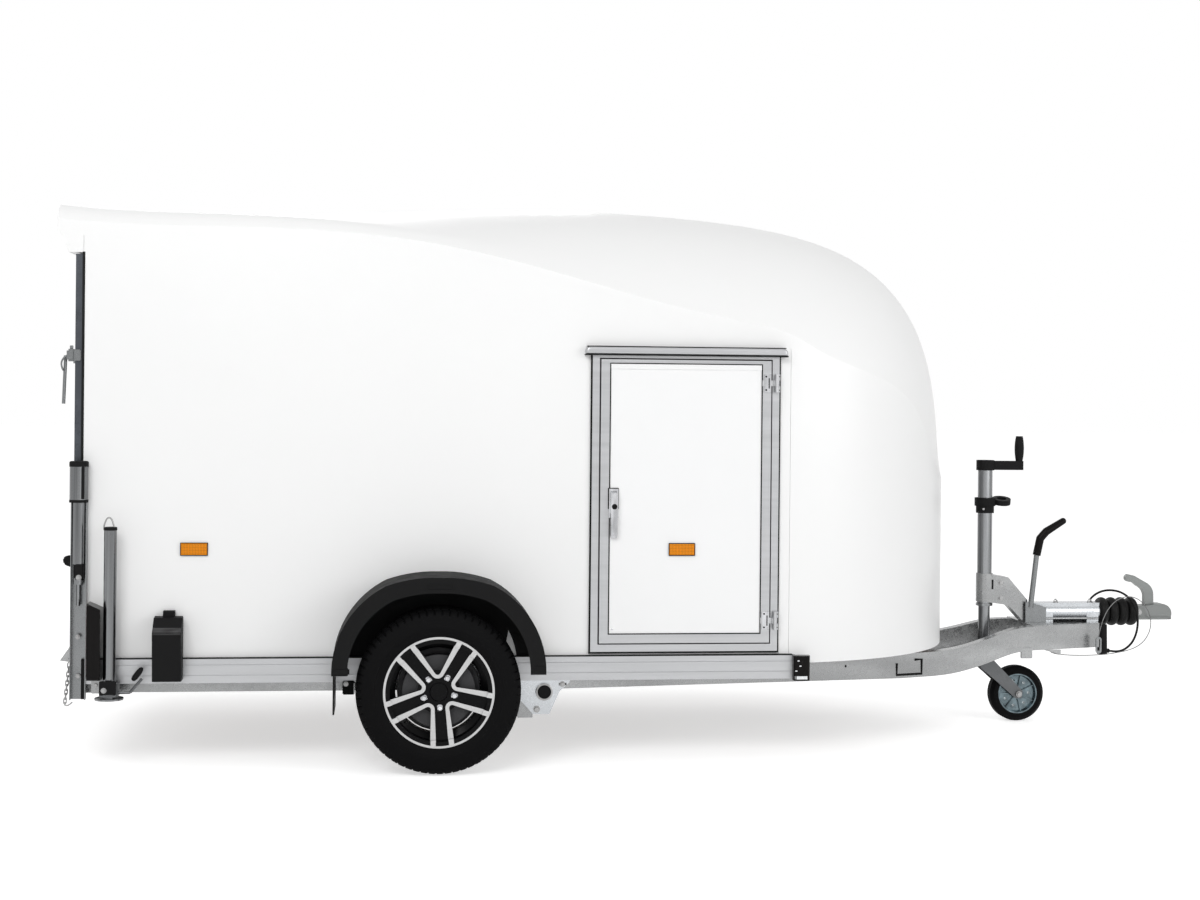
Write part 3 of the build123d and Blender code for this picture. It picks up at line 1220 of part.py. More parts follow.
grip = strut(knee, bend, BRAKE_GRIP_RADIUS) + Pos(*bend) * Sphere(BRAKE_GRIP_RADIUS)
grip += strut(bend, elbow, BRAKE_GRIP_RADIUS) + Pos(*elbow) * Sphere(BRAKE_GRIP_RADIUS)
grip_line = Vector(*grip_tip) - Vector(*elbow)
grip_end = Plane(origin=elbow, z_dir=grip_line.normalized())
grip += extrude(grip_end * Circle(BRAKE_GRIP_RADIUS), amount=grip_line.length,
                taper=degrees(atan2(BRAKE_GRIP_TAPER, grip_line.length)))
grip += Pos(*grip_tip) * Sphere(tip_radius)
parts["brake_grip"] = grip - parts["brake_lever"]

# Jockey wheel

CRANK_HEIGHT = 42
CRANK_HUB_RADIUS = 37
CRANK_ARM_TIP = 2445
CRANK_ARM_DROP = 3
CRANK_GRIP_TOP = 1182
CRANK_GRIP_RADIUS = 14
CRANK_GRIP_BELLY = 19
COLLAR_BOTTOM = 863
COLLAR_TOP = 926
COLLAR_RADIUS = 37
COLLAR_STEP = 892
COLLAR_UPPER_RADIUS = 43
RING_X = 2356
RING_Z = 912
RING_OUT_RADIUS = 38
RING_IN_RADIUS = 20
RING_HEIGHT = 22
RING_TILT = 14
BRACKET_TOP = 612
BRACKET_SHOULDER_X = 2378
BRACKET_SHOULDER_Z = 597
BRACKET_KNEE_Z = 503
BRACKET_LOW = 495
BRACKET_LOW_SHOULDER_Z = 482
BRACKET_FOOT_X = 2460
BRACKET_SHEET = 5

tube = rod_z(JOCKEY_X, 0, JOCKEY_TUBE_RADIUS, JOCKEY_TUBE_BOTTOM, JOCKEY_TUBE_TOP)
tube += rod_z(JOCKEY_X, 0, JOCKEY_TUBE_RADIUS + CUT, JOCKEY_TUBE_BOTTOM, JOCKEY_TUBE_BOTTOM + 2 * CUT)
tube -= rod_z(JOCKEY_X, 0, JOCKEY_INNER_RADIUS + JOCKEY_SLIDE_CLEARANCE, JOCKEY_TUBE_BOTTOM - CUT,
              JOCKEY_TUBE_TOP - JOCKEY_TUBE_WALL)
parts["jockey_tube"] = tube

crank = rod_z(JOCKEY_X, 0, CRANK_HUB_RADIUS, JOCKEY_TUBE_TOP, JOCKEY_TUBE_TOP + CRANK_HEIGHT)
crank_top = JOCKEY_TUBE_TOP + CRANK_HEIGHT - CRANK_ARM_DROP
crank += block(JOCKEY_X, CRANK_ARM_TIP, -CRANK_GRIP_RADIUS, CRANK_GRIP_RADIUS, JOCKEY_TUBE_TOP + CRANK_ARM_DROP / 2, crank_top)
grip_height = CRANK_GRIP_TOP - crank_top
belly_height = grip_height * 0.6
crank_grip = revolve(
    make_face(Wire([
        Line((0, 0, 0), (CRANK_GRIP_RADIUS, 0, 0)),
        ThreePointArc((CRANK_GRIP_RADIUS, 0, 0), (CRANK_GRIP_BELLY, 0, belly_height), (CRANK_GRIP_RADIUS, 0, grip_height)),
        Line((CRANK_GRIP_RADIUS, 0, grip_height), (0, 0, grip_height)),
        Line((0, 0, grip_height), (0, 0, 0)),
    ])),
    axis=Axis.Z,
)
crank += Pos(CRANK_ARM_TIP - CRANK_GRIP_RADIUS, 0, crank_top) * crank_grip
parts["jockey_crank"] = crank

collar = rod_z(JOCKEY_X, 0, COLLAR_RADIUS, COLLAR_BOTTOM, COLLAR_TOP)
collar -= rod_z(JOCKEY_X, 0, JOCKEY_TUBE_RADIUS, COLLAR_BOTTOM - CUT, COLLAR_TOP + CUT)
collar += rod_z(JOCKEY_X, 0, COLLAR_UPPER_RADIUS, COLLAR_STEP, COLLAR_TOP)
collar -= rod_z(JOCKEY_X, 0, JOCKEY_TUBE_RADIUS, COLLAR_BOTTOM - CUT, COLLAR_TOP + CUT)
ring = Cylinder(RING_OUT_RADIUS, RING_HEIGHT) - Cylinder(RING_IN_RADIUS, RING_HEIGHT + 2 * CUT)
ring = Pos(RING_X, 0, RING_Z) * Rot(RING_TILT, 0, 0) * ring
ring -= rod_z(JOCKEY_X, 0, JOCKEY_TUBE_RADIUS, COLLAR_BOTTOM - CUT, COLLAR_TOP + 2 * CUT)
parts["jockey_collar"] = collar + ring

clamp_out = JOCKEY_TUBE_RADIUS + CLAMP_WALL
bracket_half = clamp_out


def bracket_outline(inset):
    """Side view of the folded bracket, from the tube to its foot on the plate."""
    foot_low = PLATE_TOP + SEAT_GAP - (CUT if inset else 0)
    return [
        (JOCKEY_X, BRACKET_LOW + inset),
        (JOCKEY_X, BRACKET_TOP - inset),
        (BRACKET_SHOULDER_X - inset / 2, BRACKET_SHOULDER_Z - inset),
        (BRACKET_FOOT_X - inset, BRACKET_KNEE_Z - inset / 2),
        (BRACKET_FOOT_X - inset, foot_low),
        (BRACKET_FOOT_X - CLAMP_HALF / 2 + inset, foot_low),
        (BRACKET_SHOULDER_X, BRACKET_LOW_SHOULDER_Z + inset),
    ]


bracket = prism_y(bracket_outline(0), -bracket_half, bracket_half)
bracket -= prism_y(bracket_outline(BRACKET_SHEET), -bracket_half - CUT, bracket_half + CUT) \
    & block(0, COUPLING_TIP, -bracket_half + BRACKET_SHEET, bracket_half - BRACKET_SHEET, 0, CREST)
bracket += rod_z(JOCKEY_X, 0, clamp_out, BRACKET_LOW, BRACKET_TOP)
bracket -= rod_z(JOCKEY_X, 0, JOCKEY_TUBE_RADIUS, BRACKET_LOW - CUT, BRACKET_TOP + CUT)
parts["jockey_bracket"] = bracket

INNER_BOTTOM = 262
INNER_TOP = JOCKEY_TUBE_TOP - 60
inner = rod_z(JOCKEY_X, 0, JOCKEY_INNER_RADIUS, INNER_BOTTOM, INNER_TOP)
parts["jockey_inner_tube"] = inner

FORK_TOP = INNER_BOTTOM - SEAT_GAP
FORK_THICK = 6
FORK_PLATE = 8
FORK_HALF = 24
fork_in = JOCKEY_WHEEL_WIDTH / 2 + RUN_GAP
fork_out = fork_in + FORK_THICK
axle_x = JOCKEY_X + JOCKEY_TRAIL
axle_z = JOCKEY_WHEEL_RADIUS
fork_points = [
    (JOCKEY_X - FORK_HALF, FORK_TOP),
    (JOCKEY_X + FORK_HALF, FORK_TOP),
    (axle_x + FORK_HALF * 0.75, axle_z + FORK_HALF * 0.5),
    (axle_x + FORK_HALF * 0.55, axle_z - FORK_HALF * 0.75),
    (axle_x - FORK_HALF * 0.5, axle_z - FORK_HALF * 0.75),
    (JOCKEY_X - FORK_HALF, FORK_TOP - FORK_HALF * 1.5),
]
fork_arm = prism_y(fork_points, fork_in, fork_out)
fork = fork_arm + other_side(fork_arm)
fork += block(JOCKEY_X - FORK_HALF, JOCKEY_X + FORK_HALF, -fork_out, fork_out, FORK_TOP - FORK_PLATE, FORK_TOP)
fork += rod_y(axle_x, axle_z, JOCKEY_AXLE_RADIUS, -fork_out - FORK_THICK, fork_out + FORK_THICK)
parts["jockey_fork"] = fork

JOCKEY_HUB_RADIUS = 20
JOCKEY_TREAD_CORNER = 14
jockey_half = JOCKEY_WHEEL_WIDTH / 2
tread = turn_about_y(
    outline(
        [
            (-jockey_half, JOCKEY_RIM_RADIUS),
            (-jockey_half, JOCKEY_WHEEL_RADIUS - JOCKEY_TREAD_CORNER),
            (-jockey_half + JOCKEY_TREAD_CORNER, JOCKEY_WHEEL_RADIUS),
            (jockey_half - JOCKEY_TREAD_CORNER, JOCKEY_WHEEL_RADIUS),
            (jockey_half, JOCKEY_WHEEL_RADIUS - JOCKEY_TREAD_CORNER),
            (jockey_half, JOCKEY_RIM_RADIUS),
        ]
    )
)
parts["jockey_tyre"] = Pos(axle_x, 0, axle_z) * tread
JOCKEY_DISC_HALF = 14
JOCKEY_HOLES = 7
JOCKEY_HOLE_PLACE = 52
JOCKEY_HOLE_RADIUS = 6
JOCKEY_RIB = 4
rib_half = (JOCKEY_DISC_HALF + jockey_half) / 2
jockey_rim = turn_about_y(
    outline(
        [
            (-jockey_half, JOCKEY_RIM_RADIUS),
            (jockey_half, JOCKEY_RIM_RADIUS),
            (jockey_half, JOCKEY_RIM_RADIUS - CLAMP_WALL),
            (JOCKEY_DISC_HALF, JOCKEY_RIM_RADIUS - 2 * CLAMP_WALL),
            (JOCKEY_DISC_HALF, JOCKEY_HUB_RADIUS),
            (jockey_half, JOCKEY_HUB_RADIUS),
            (jockey_half, JOCKEY_AXLE_RADIUS + STUB_CLEARANCE),
            (-jockey_half, JOCKEY_AXLE_RADIUS + STUB_CLEARANCE),
            (-jockey_half, JOCKEY_HUB_RADIUS),
            (-JOCKEY_DISC_HALF, JOCKEY_HUB_RADIUS),
            (-JOCKEY_DISC_HALF, JOCKEY_RIM_RADIUS - 2 * CLAMP_WALL),
            (-jockey_half, JOCKEY_RIM_RADIUS - CLAMP_WALL),
        ]
    )
)
for hole in range(JOCKEY_HOLES):
    x, z = polar(JOCKEY_HOLE_PLACE, 360 / JOCKEY_HOLES * hole)
    jockey_rim -= rod_y(x, z, JOCKEY_HOLE_RADIUS, -jockey_half, jockey_half)
    rib = block(JOCKEY_HUB_RADIUS - SEAT_GAP, JOCKEY_RIM_RADIUS - CLAMP_WALL, -rib_half, rib_half, -JOCKEY_RIB / 2, JOCKEY_RIB / 2)
    jockey_rim += Rot(0, -360 / JOCKEY_HOLES * (hole + 0.5), 0) * rib
parts["jockey_rim"] = Pos(axle_x, 0, axle_z) * jockey_rim

# Parked plug and the two cables

PLUG_RADIUS = 21
PLUG_X = BEAM_FRONT + PLUG_RADIUS + SEAT_GAP
PLUG_Y = -54
PLUG_TOP = 402
PLUG_BOTTOM = 280
PLUG_TOP_RADIUS = 19
PLUG_NECK_RADIUS = 9
PLUG_NECK_Z = 293
PLUG_NECK_X = 2806
plug = Pos(PLUG_X, PLUG_Y, (PLUG_BOTTOM + PLUG_TOP) / 2) * Cone(PLUG_RADIUS, PLUG_TOP_RADIUS, PLUG_TOP - PLUG_BOTTOM)
plug += rod_x(PLUG_Y, PLUG_NECK_Z, PLUG_NECK_RADIUS, PLUG_X, PLUG_NECK_X)

PLUG_CABLE_RADIUS = 4.5
BRAKE_CABLE_RADIUS = 1.75


def cable(points, radius, name):
    """A round cable along straight runs joined by the largest arcs that they allow."""
    places = [Vector(*point) for point in points]
    radii = []
    for before, here, after in zip(places, places[1:], places[2:]):
        first = here - before
        second = after - here
        turn = radians(first.get_angle(second))
        radii.append(0.45 * min(first.length, second.length) / tan(turn / 2))
    path = FilletPolyline(*[tuple(place) for place in places], radius=radii)
    start = Plane(origin=places[0], z_dir=(places[1] - places[0]).normalized())
    tube = sweep(start * Circle(radius), path=path)
    print(name, "length", round(path.length), "radii", [round(value) for value in radii],
          "volume share", round(tube.volume / (pi * radius ** 2 * path.length), 3))
    return tube


# Cable routes from their exits, (x, y, z)
PLUG_CABLE_ROUTE = (
    (PLUG_NECK_X, PLUG_Y, PLUG_NECK_Z), (2832, -63, 289), (2862, -75, 298), (2889, -86, 324), (2906, -92, 360),
    (2914, -94, 402), (2913, -92, 444), (2904, -84, 483), (2887, -66, 515), (2863, -40, 535),
    (2835, -10, 541), (2807, 22, 535), (2783, 50, 516), (2765, 70, 488), (2752, 76, 456),
    (2745, 73, 432), (2742, 70, 413),
)
BRAKE_CABLE_ROUTE = (
    (2520, -112, 309.6), (2531, -113, 298), (2552, -115, 290), (2588, -117, 286), (2630, -120, 284),
    (2672, -124, 284), (2714, -130, 286), (2757, -135, 289), (2808, -132, 295), (2858, -124, 303),
    (2906, -108, 316), (2948, -86, 339), (2978, -64, 373), (2990, -50, 411), (2981, -52, 450),
    (2955, -66, 484), (2921, -84, 510), (2880, -97, 524), (2838, -106, 520), (2802, -113, 501),
    (2773, -118, 470), (2753, -121, 432), (2741, -122, 394), (2734, -122, 360),
)
parts["plug_cable"] = cable(PLUG_CABLE_ROUTE, PLUG_CABLE_RADIUS, "plug_cable")
parts["plug"] = plug - parts["plug_cable"]
parts["breakaway_cable"] = cable(BRAKE_CABLE_ROUTE, BRAKE_CABLE_RADIUS, "breakaway_cable")

# Carabiner on the end of the breakaway cable

CARABINER_LENGTH = 66
CARABINER_HALF = 9
CARABINER_WIRE = 3
end_x, end_y, end_z = BRAKE_CABLE_ROUTE[-1]
loop_low = end_z - CARABINER_LENGTH
link_top = end_z - CARABINER_WIRE
link = rod_y(end_x, link_top - CARABINER_HALF, CARABINER_HALF + CARABINER_WIRE - SEAT_GAP, end_y - CARABINER_WIRE, end_y + CARABINER_WIRE)
link += rod_y(end_x, loop_low + CARABINER_HALF, CARABINER_HALF + CARABINER_WIRE, end_y - CARABINER_WIRE, end_y + CARABINER_WIRE)
link += block(end_x - CARABINER_HALF - CARABINER_WIRE, end_x + CARABINER_HALF + CARABINER_WIRE,
              end_y - CARABINER_WIRE, end_y + CARABINER_WIRE, loop_low + CARABINER_HALF, end_z - CARABINER_HALF)
link -= block(end_x - CARABINER_HALF + CARABINER_WIRE, end_x + CARABINER_HALF - CARABINER_WIRE, end_y - CUT, end_y + CUT,
              loop_low + CARABINER_HALF, end_z - CARABINER_HALF)
parts["carabiner"] = link - parts["breakaway_cable"]

os.makedirs("parts", exist_ok=True)
for node, shape in parts.items():
    export_step(Pos(-CENTRE_X, 0, 0) * shape, f"parts/{node}.step")
print(len(parts), "nodes")
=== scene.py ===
"""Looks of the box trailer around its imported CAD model.

Places are written in millimetres from the axle, as in the part's source: X towards
the coupling, Y to the left, Z up from the ground. at() turns them into the row
frame in metres. The photographed side is the right one, -Y.
"""
import math

import bmesh
import bpy
from mathutils import Matrix, Vector


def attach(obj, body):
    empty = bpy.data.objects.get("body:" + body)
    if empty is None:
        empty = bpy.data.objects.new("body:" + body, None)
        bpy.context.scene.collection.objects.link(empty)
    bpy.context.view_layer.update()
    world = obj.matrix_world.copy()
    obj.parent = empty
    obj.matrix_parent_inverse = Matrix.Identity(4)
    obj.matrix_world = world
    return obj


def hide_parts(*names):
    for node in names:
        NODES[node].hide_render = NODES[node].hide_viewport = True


# Sizes shared with the part's source

CENTRE_X = 871
RIGHT, LEFT = -1, 1
SIDE_NAMES = {RIGHT: "right", LEFT: "left"}
WHEEL_RADIUS = 292
WHEEL_PLANE = 910
RIM_LIP_RADIUS = 187
RIM_SPOKE_RADIUS = 171
WHEEL_FACE_OUT = 980
HUB_FACE_OUT = 973
BOLT_CIRCLE = 56
BOLT_PHASE = 58.2
BOLTS = 5


def at(x, y, z):
    """A place measured in millimetres from the axle, in the row frame in metres."""
    return Vector((x - CENTRE_X, y, z)) / 1000


def place(spot, side):
    """A place whose middle number is how far out from the middle it lies."""
    return at(spot[0], side * spot[1], spot[2])


def mm(value):
    return value / 1000


# Node materials

NOISE_LOW, NOISE_HIGH = 0.3, 0.7
COAT_ROUGHNESS = 0.08
# Zinc crystals: how much finer and how strong the noise is that bends their edges
WOBBLE_FINER, WOBBLE_SHARE = 1.7, 0.06
# Cloudy darker patches on zinc, partly stains and partly painted reflection bands: scale, detail, stretch
CLOUDS = (5, 2, (0.3, 1, 1.6))
ZINC_METAL = 0.9
ZINC_RELIEF_SCALE = 60
PRISMS_PER_METRE = 260
PRISM_DEPTH = 0.0006


def node_tools(tree):
    """Functions that add nodes with their inputs to a tree, and link sockets."""
    def add(kind, inputs=None, **settings):
        node = tree.nodes.new(kind)
        for key, value in settings.items():
            setattr(node, key, value)
        for key, value in (inputs or {}).items():
            if isinstance(value, bpy.types.NodeSocket):
                tree.links.new(value, node.inputs[key])
            else:
                node.inputs[key].default_value = value
        return node

    def link(socket, target):
        tree.links.new(socket, target)

    return add, link


def new_tree(name):
    """A material, its shader and the functions that build its nodes."""
    mat = bpy.data.materials.new(name)
    mat.use_nodes = True
    add, link = node_tools(mat.node_tree)
    return mat, mat.node_tree.nodes["Principled BSDF"], add, link


def grey(value):
    return (value, value, value, 1)


def shade(colour, factor):
    """A colour made lighter or darker."""
    return tuple(min(1, part * factor) for part in colour[:3]) + (1,)


def place_noise(add, scale, detail=3, stretch=(1, 1, 1)):
    """Noise over the object's own coordinates, drawn out along its axes."""
    coords = add("ShaderNodeTexCoord").outputs["Object"]
    mapped = add("ShaderNodeMapping", {"Vector": coords, "Scale": stretch}).outputs["Vector"]
    return add("ShaderNodeTexNoise", {"Vector": mapped, "Scale": scale, "Detail": detail}).outputs["Fac"]


def calculate(add, operation, *values):
    """The result of one Math node."""
    return add("ShaderNodeMath", dict(enumerate(values)), operation=operation).outputs[0]


def remap(add, value, low, high, from_low=0, from_high=1):
    """A value brought from one range to another."""
    source = {"Value": value, "From Min": from_low, "From Max": from_high}
    return add("ShaderNodeMapRange", {**source, "To Min": low, "To Max": high}).outputs["Result"]


def spread(add, noise, low, high):
    """Noise, which is mostly within its middle range, stretched from low to high."""
    return remap(add, noise, low, high, NOISE_LOW, NOISE_HIGH)


def mix_colour(add, factor, first, second):
    return add("ShaderNodeMix", {0: factor, 6: first, 7: second}, data_type="RGBA").outputs[2]


def relief(add, height, strength, depth):
    """Normals bent by a height, with its depth in metres."""
    bump = add("ShaderNodeBump", {"Height": height, "Strength": strength, "Distance": depth})
    return bump.outputs["Normal"]


def finish(
    name, colour, rough, metal=0.0, vary=0.08, scale=6, stretch=(1, 1, 1), bump=0.0, bump_scale=200,
    bump_stretch=(1, 1, 1), coat=0.0, shine=0.5,
):
    """A plain surface with slow changes of tone and gloss, and a fine bump."""
    mat, shader, add, link = new_tree(name)
    slow = place_noise(add, scale, 4, stretch)
    tone = mix_colour(add, spread(add, slow, 0, 1), shade(colour, 1 - vary), shade(colour, 1 + vary))
    link(tone, shader.inputs["Base Color"])
    link(spread(add, slow, rough[0], rough[1]), shader.inputs["Roughness"])
    shader.inputs["Metallic"].default_value = metal
    shader.inputs["Specular IOR Level"].default_value = shine
    shader.inputs["Coat Weight"].default_value = coat
    shader.inputs["Coat Roughness"].default_value = COAT_ROUGHNESS
    if bump:
        fine = place_noise(add, bump_scale, 3, bump_stretch)
        link(relief(add, fine, 0.6, bump), shader.inputs["Normal"])
    return mat


def galvanised(name, colour, rough, spangle, contrast, bump=0.0, stain_and_reflection=0.85):
    """Hot-dip zinc: crystals of slightly different tone and gloss, and cloudy stains that also serve as
    painted reflections.
    """
    mat, shader, add, link = new_tree(name)
    coords = add("ShaderNodeTexCoord").outputs["Object"]
    noise = add("ShaderNodeTexNoise", {"Vector": coords, "Scale": spangle * WOBBLE_FINER, "Detail": 2})
    mix = {0: WOBBLE_SHARE, 4: coords, 5: noise.outputs["Color"]}
    bent = add("ShaderNodeMix", mix, data_type="VECTOR").outputs[1]
    crystal = add("ShaderNodeTexVoronoi", {"Vector": bent, "Scale": spangle}).outputs["Color"]
    cell = add("ShaderNodeSeparateColor", {"Color": crystal}).outputs["Red"]
    cloud = spread(add, place_noise(add, *CLOUDS), 0, 1)
    base = mix_colour(add, cell, shade(colour, 1 - contrast), shade(colour, 1 + contrast))
    stained_and_reflecting = mix_colour(add, cloud, base, shade(colour, stain_and_reflection))
    link(stained_and_reflecting, shader.inputs["Base Color"])
    link(remap(add, cell, rough[0], rough[1]), shader.inputs["Roughness"])
    shader.inputs["Metallic"].default_value = ZINC_METAL
    if bump:
        link(relief(add, place_noise(add, ZINC_RELIEF_SCALE, 4), 0.5, bump), shader.inputs["Normal"])
    return mat


# The least share of a face's normal along the axle on a turned face
LEVEL_FACE = 0.9
# Turning marks, in radians per metre of radius
TURNED_LINES = 5200
WHEEL_PAINT = (0.003, 0.003, 0.0033, 1)


def machined_wheel(name):
    """Gloss black alloy whose outer faces are turned bright."""
    mat, shader, add, link = new_tree(name)
    coords = add("ShaderNodeTexCoord").outputs["Object"]
    out = calculate(add, "ABSOLUTE", add("ShaderNodeSeparateXYZ", {"Vector": coords}).outputs["Y"])
    face = calculate(add, "GREATER_THAN", out, mm(WHEEL_FACE_OUT - 1))
    normal = add("ShaderNodeNewGeometry").outputs["True Normal"]
    flat = calculate(add, "ABSOLUTE", add("ShaderNodeSeparateXYZ", {"Vector": normal}).outputs["Y"])
    facing = calculate(add, "MULTIPLY", face, calculate(add, "GREATER_THAN", flat, LEVEL_FACE))
    middle = at(0, 0, WHEEL_RADIUS)
    from_axle = add("ShaderNodeVectorMath", {0: coords, 1: middle}, operation="SUBTRACT").outputs[0]
    in_plane = add("ShaderNodeVectorMath", {0: from_axle, 1: (1, 0, 1)}, operation="MULTIPLY").outputs[0]
    radius = add("ShaderNodeVectorMath", {0: in_plane}, operation="LENGTH").outputs["Value"]
    lip = calculate(add, "GREATER_THAN", radius, mm(RIM_LIP_RADIUS))
    spokes = calculate(add, "LESS_THAN", radius, mm(RIM_SPOKE_RADIUS))
    bright = calculate(add, "MULTIPLY", facing, calculate(add, "MAXIMUM", lip, spokes))
    lines = calculate(add, "SINE", calculate(add, "MULTIPLY", radius, TURNED_LINES))
    tone = remap(add, lines, 0.40, 0.58, from_low=-1)
    silver = add("ShaderNodeCombineColor", {"Red": tone, "Green": tone, "Blue": tone}).outputs[0]
    link(mix_colour(add, bright, WHEEL_PAINT, silver), shader.inputs["Base Color"])
    link(remap(add, bright, 0.0, 0.9), shader.inputs["Metallic"])
    link(remap(add, bright, 0.22, 0.38), shader.inputs["Roughness"])
    shader.inputs["Specular IOR Level"].default_value = 0.08
    return mat


def prismatic(name, colour):
    """A lens with a lattice of small prisms under a clear face, painted with a faint glow."""
    mat, shader, add, link = new_tree(name)
    coords = add("ShaderNodeTexCoord").outputs["Object"]
    turned = add("ShaderNodeMapping", {"Vector": coords, "Rotation": (0, math.radians(45), 0)})
    squares = {"Vector": turned.outputs["Vector"], "Scale": PRISMS_PER_METRE}
    lattice = add("ShaderNodeTexChecker", squares).outputs["Fac"]
    tone = mix_colour(add, lattice, shade(colour, 0.62), shade(colour, 1.2))
    link(tone, shader.inputs["Base Color"])
    shader.inputs["Roughness"].default_value = 0.3
    shader.inputs["Specular IOR Level"].default_value = 0.2
    # Painted glow: the lens gives off a little light of its own colour, though it is no lit lamp.
    shader.inputs["Emission Color"].default_value = colour
    shader.inputs["Emission Strength"].default_value = 0.05
    link(relief(add, lattice, 0.5, PRISM_DEPTH), shader.inputs["Normal"])
    return mat


# Frame

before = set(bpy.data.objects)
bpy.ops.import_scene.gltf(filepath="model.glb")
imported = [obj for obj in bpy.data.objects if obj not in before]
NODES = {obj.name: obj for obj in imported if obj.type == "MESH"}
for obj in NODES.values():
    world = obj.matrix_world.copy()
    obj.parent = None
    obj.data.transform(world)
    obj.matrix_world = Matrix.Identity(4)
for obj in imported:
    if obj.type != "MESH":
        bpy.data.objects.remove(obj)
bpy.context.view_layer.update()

# Surfaces

WHITE = finish(
    "gel_coat_white", (0.918, 0.92, 0.918, 1), (0.32, 0.42), vary=0.006, scale=1.2, bump=0.0003,
    bump_scale=3.0, coat=0.05,
)
PANEL = finish(
    "panel_white", (0.925, 0.928, 0.93, 1), (0.28, 0.36), vary=0.006, scale=2, bump=0.0001, bump_scale=90,
)
PLYWOOD = finish(
    "phenolic_ply", (0.16, 0.11, 0.085, 1), (0.45, 0.6), vary=0.12, scale=3, stretch=(1, 8, 1),
    bump=0.0006, bump_scale=160,
)
ALUMINIUM = finish(
    "satin_aluminium", (0.45, 0.455, 0.465, 1), (0.34, 0.46), metal=0.9, vary=0.05, scale=5,
    stretch=(0.4, 4, 12), bump=0.00012, bump_scale=30, bump_stretch=(0.5, 40, 40),
)
# Painted reflections: the beams' strong cloudy darkening, drawn out along them, also stands in for their
# dark reflection bands.
STEEL = galvanised(
    "galvanised_steel", (0.345, 0.35, 0.352, 1), (0.2, 0.36), 55, 0.06, bump=0.0003, stain_and_reflection=0.72,
)
DARK_STEEL = galvanised("weathered_zinc", (0.066, 0.072, 0.082, 1), (0.35, 0.6), 70, 0.28, bump=0.0008)
ZINC = galvanised("bright_zinc", (0.22, 0.228, 0.232, 1), (0.2, 0.36), 120, 0.10)
GREY_ZINC = galvanised("grey_zinc", (0.122, 0.126, 0.13, 1), (0.3, 0.5), 90, 0.12, bump=0.0004)
BRIGHT_SHEET = galvanised("bright_zinc_sheet", (0.52, 0.54, 0.56, 1), (0.22, 0.36), 60, 0.08)
PALE_ZINC = galvanised("pale_cast_zinc", (0.195, 0.203, 0.199, 1), (0.35, 0.5), 260, 0.10, bump=0.0004)
# Painted reflections: the strong light and dark banding of this colour, drawn out upwards, stands in for
# what the polished handle and bolts reflect.
CHROME_PAINTED_REFLECTIONS = finish(
    "polished_chrome_painted_reflections", (0.50, 0.505, 0.52, 1), (0.12, 0.2), metal=1.0, vary=0.32, scale=34,
    stretch=(1, 1, 0.25),
)
# Painted highlights: strong light and dark streaks drawn out along the tubes stand in for the long
# reflections on the shiny legs, jockey tubes and springs.
DRAWN_PAINTED_STREAKS = finish(
    "drawn_zinc_tube_painted_streaks", (0.195, 0.2, 0.205, 1), (0.16, 0.28), metal=1.0, vary=0.6, scale=42,
    stretch=(1, 1, 0.012),
)
# Painted highlights: the strong tone changes on the jockey wheel's disc stand in for the highlights on it.
CASTER_PAINTED_HIGHLIGHTS = finish("blue_zinc_disc_painted_highlights", (0.125, 0.16, 0.175, 1), (0.2, 0.34), metal=1.0, vary=0.4, scale=38)
# Its streaks are scratches; its tone, much lighter than the other black plastic, is painted light on the
# chocks' upward slope.
WORN_LIT_BLACK = finish(
    "worn_black_plastic_painted_light", (0.045, 0.045, 0.046, 1), (0.5, 0.65), vary=0.6, scale=60, stretch=(0.3, 1, 1),
    shine=0.25,
)
BOLT_STEEL = finish("bolt_steel", (0.34, 0.34, 0.34, 1), (0.25, 0.4), metal=1.0, vary=0.08, scale=60)
CABLE = finish("stranded_wire", (0.17, 0.17, 0.17, 1), (0.35, 0.5), metal=0.8, vary=0.3, scale=400)
CAST = finish(
    "dark_casting", (0.035, 0.035, 0.037, 1), (0.5, 0.7), metal=0.4, vary=0.15, scale=20, bump=0.0006,
    bump_scale=300,
)
TYRE = finish(
    "tyre_rubber", (0.004, 0.004, 0.0043, 1), (0.6, 0.75), vary=0.25, scale=14, bump=0.0003,
    bump_scale=420, shine=0.06,
)
RUBBER = finish(
    "soft_rubber", (0.005, 0.005, 0.005, 1), (0.42, 0.58), vary=0.2, scale=20, bump=0.0003,
    bump_scale=300, shine=0.15,
)
BLACK = finish(
    "black_plastic", (0.007, 0.007, 0.0073, 1), (0.55, 0.7), vary=0.15, scale=16, bump=0.0004,
    bump_scale=520, shine=0.11,
)
BLACK_GLOSS = finish(
    "black_gloss_plastic", (0.005, 0.0042, 0.0042, 1), (0.16, 0.26), vary=0.15, scale=16, shine=0.09,
)
LENS_WHITE = finish("white_lens", (0.8, 0.82, 0.84, 1), (0.1, 0.16), vary=0.03, scale=30, coat=0.5)
MACHINED = finish("machined_bars", (0.50, 0.50, 0.50, 1), (0.28, 0.4), metal=0.9, vary=0.1, scale=120)
WHEEL_BLACK = machined_wheel("machined_alloy")
RED_LENS = prismatic("red_lens", (0.42, 0.012, 0.010, 1))
AMBER_LENS = prismatic("amber_lens", (0.74, 0.235, 0.004, 1))

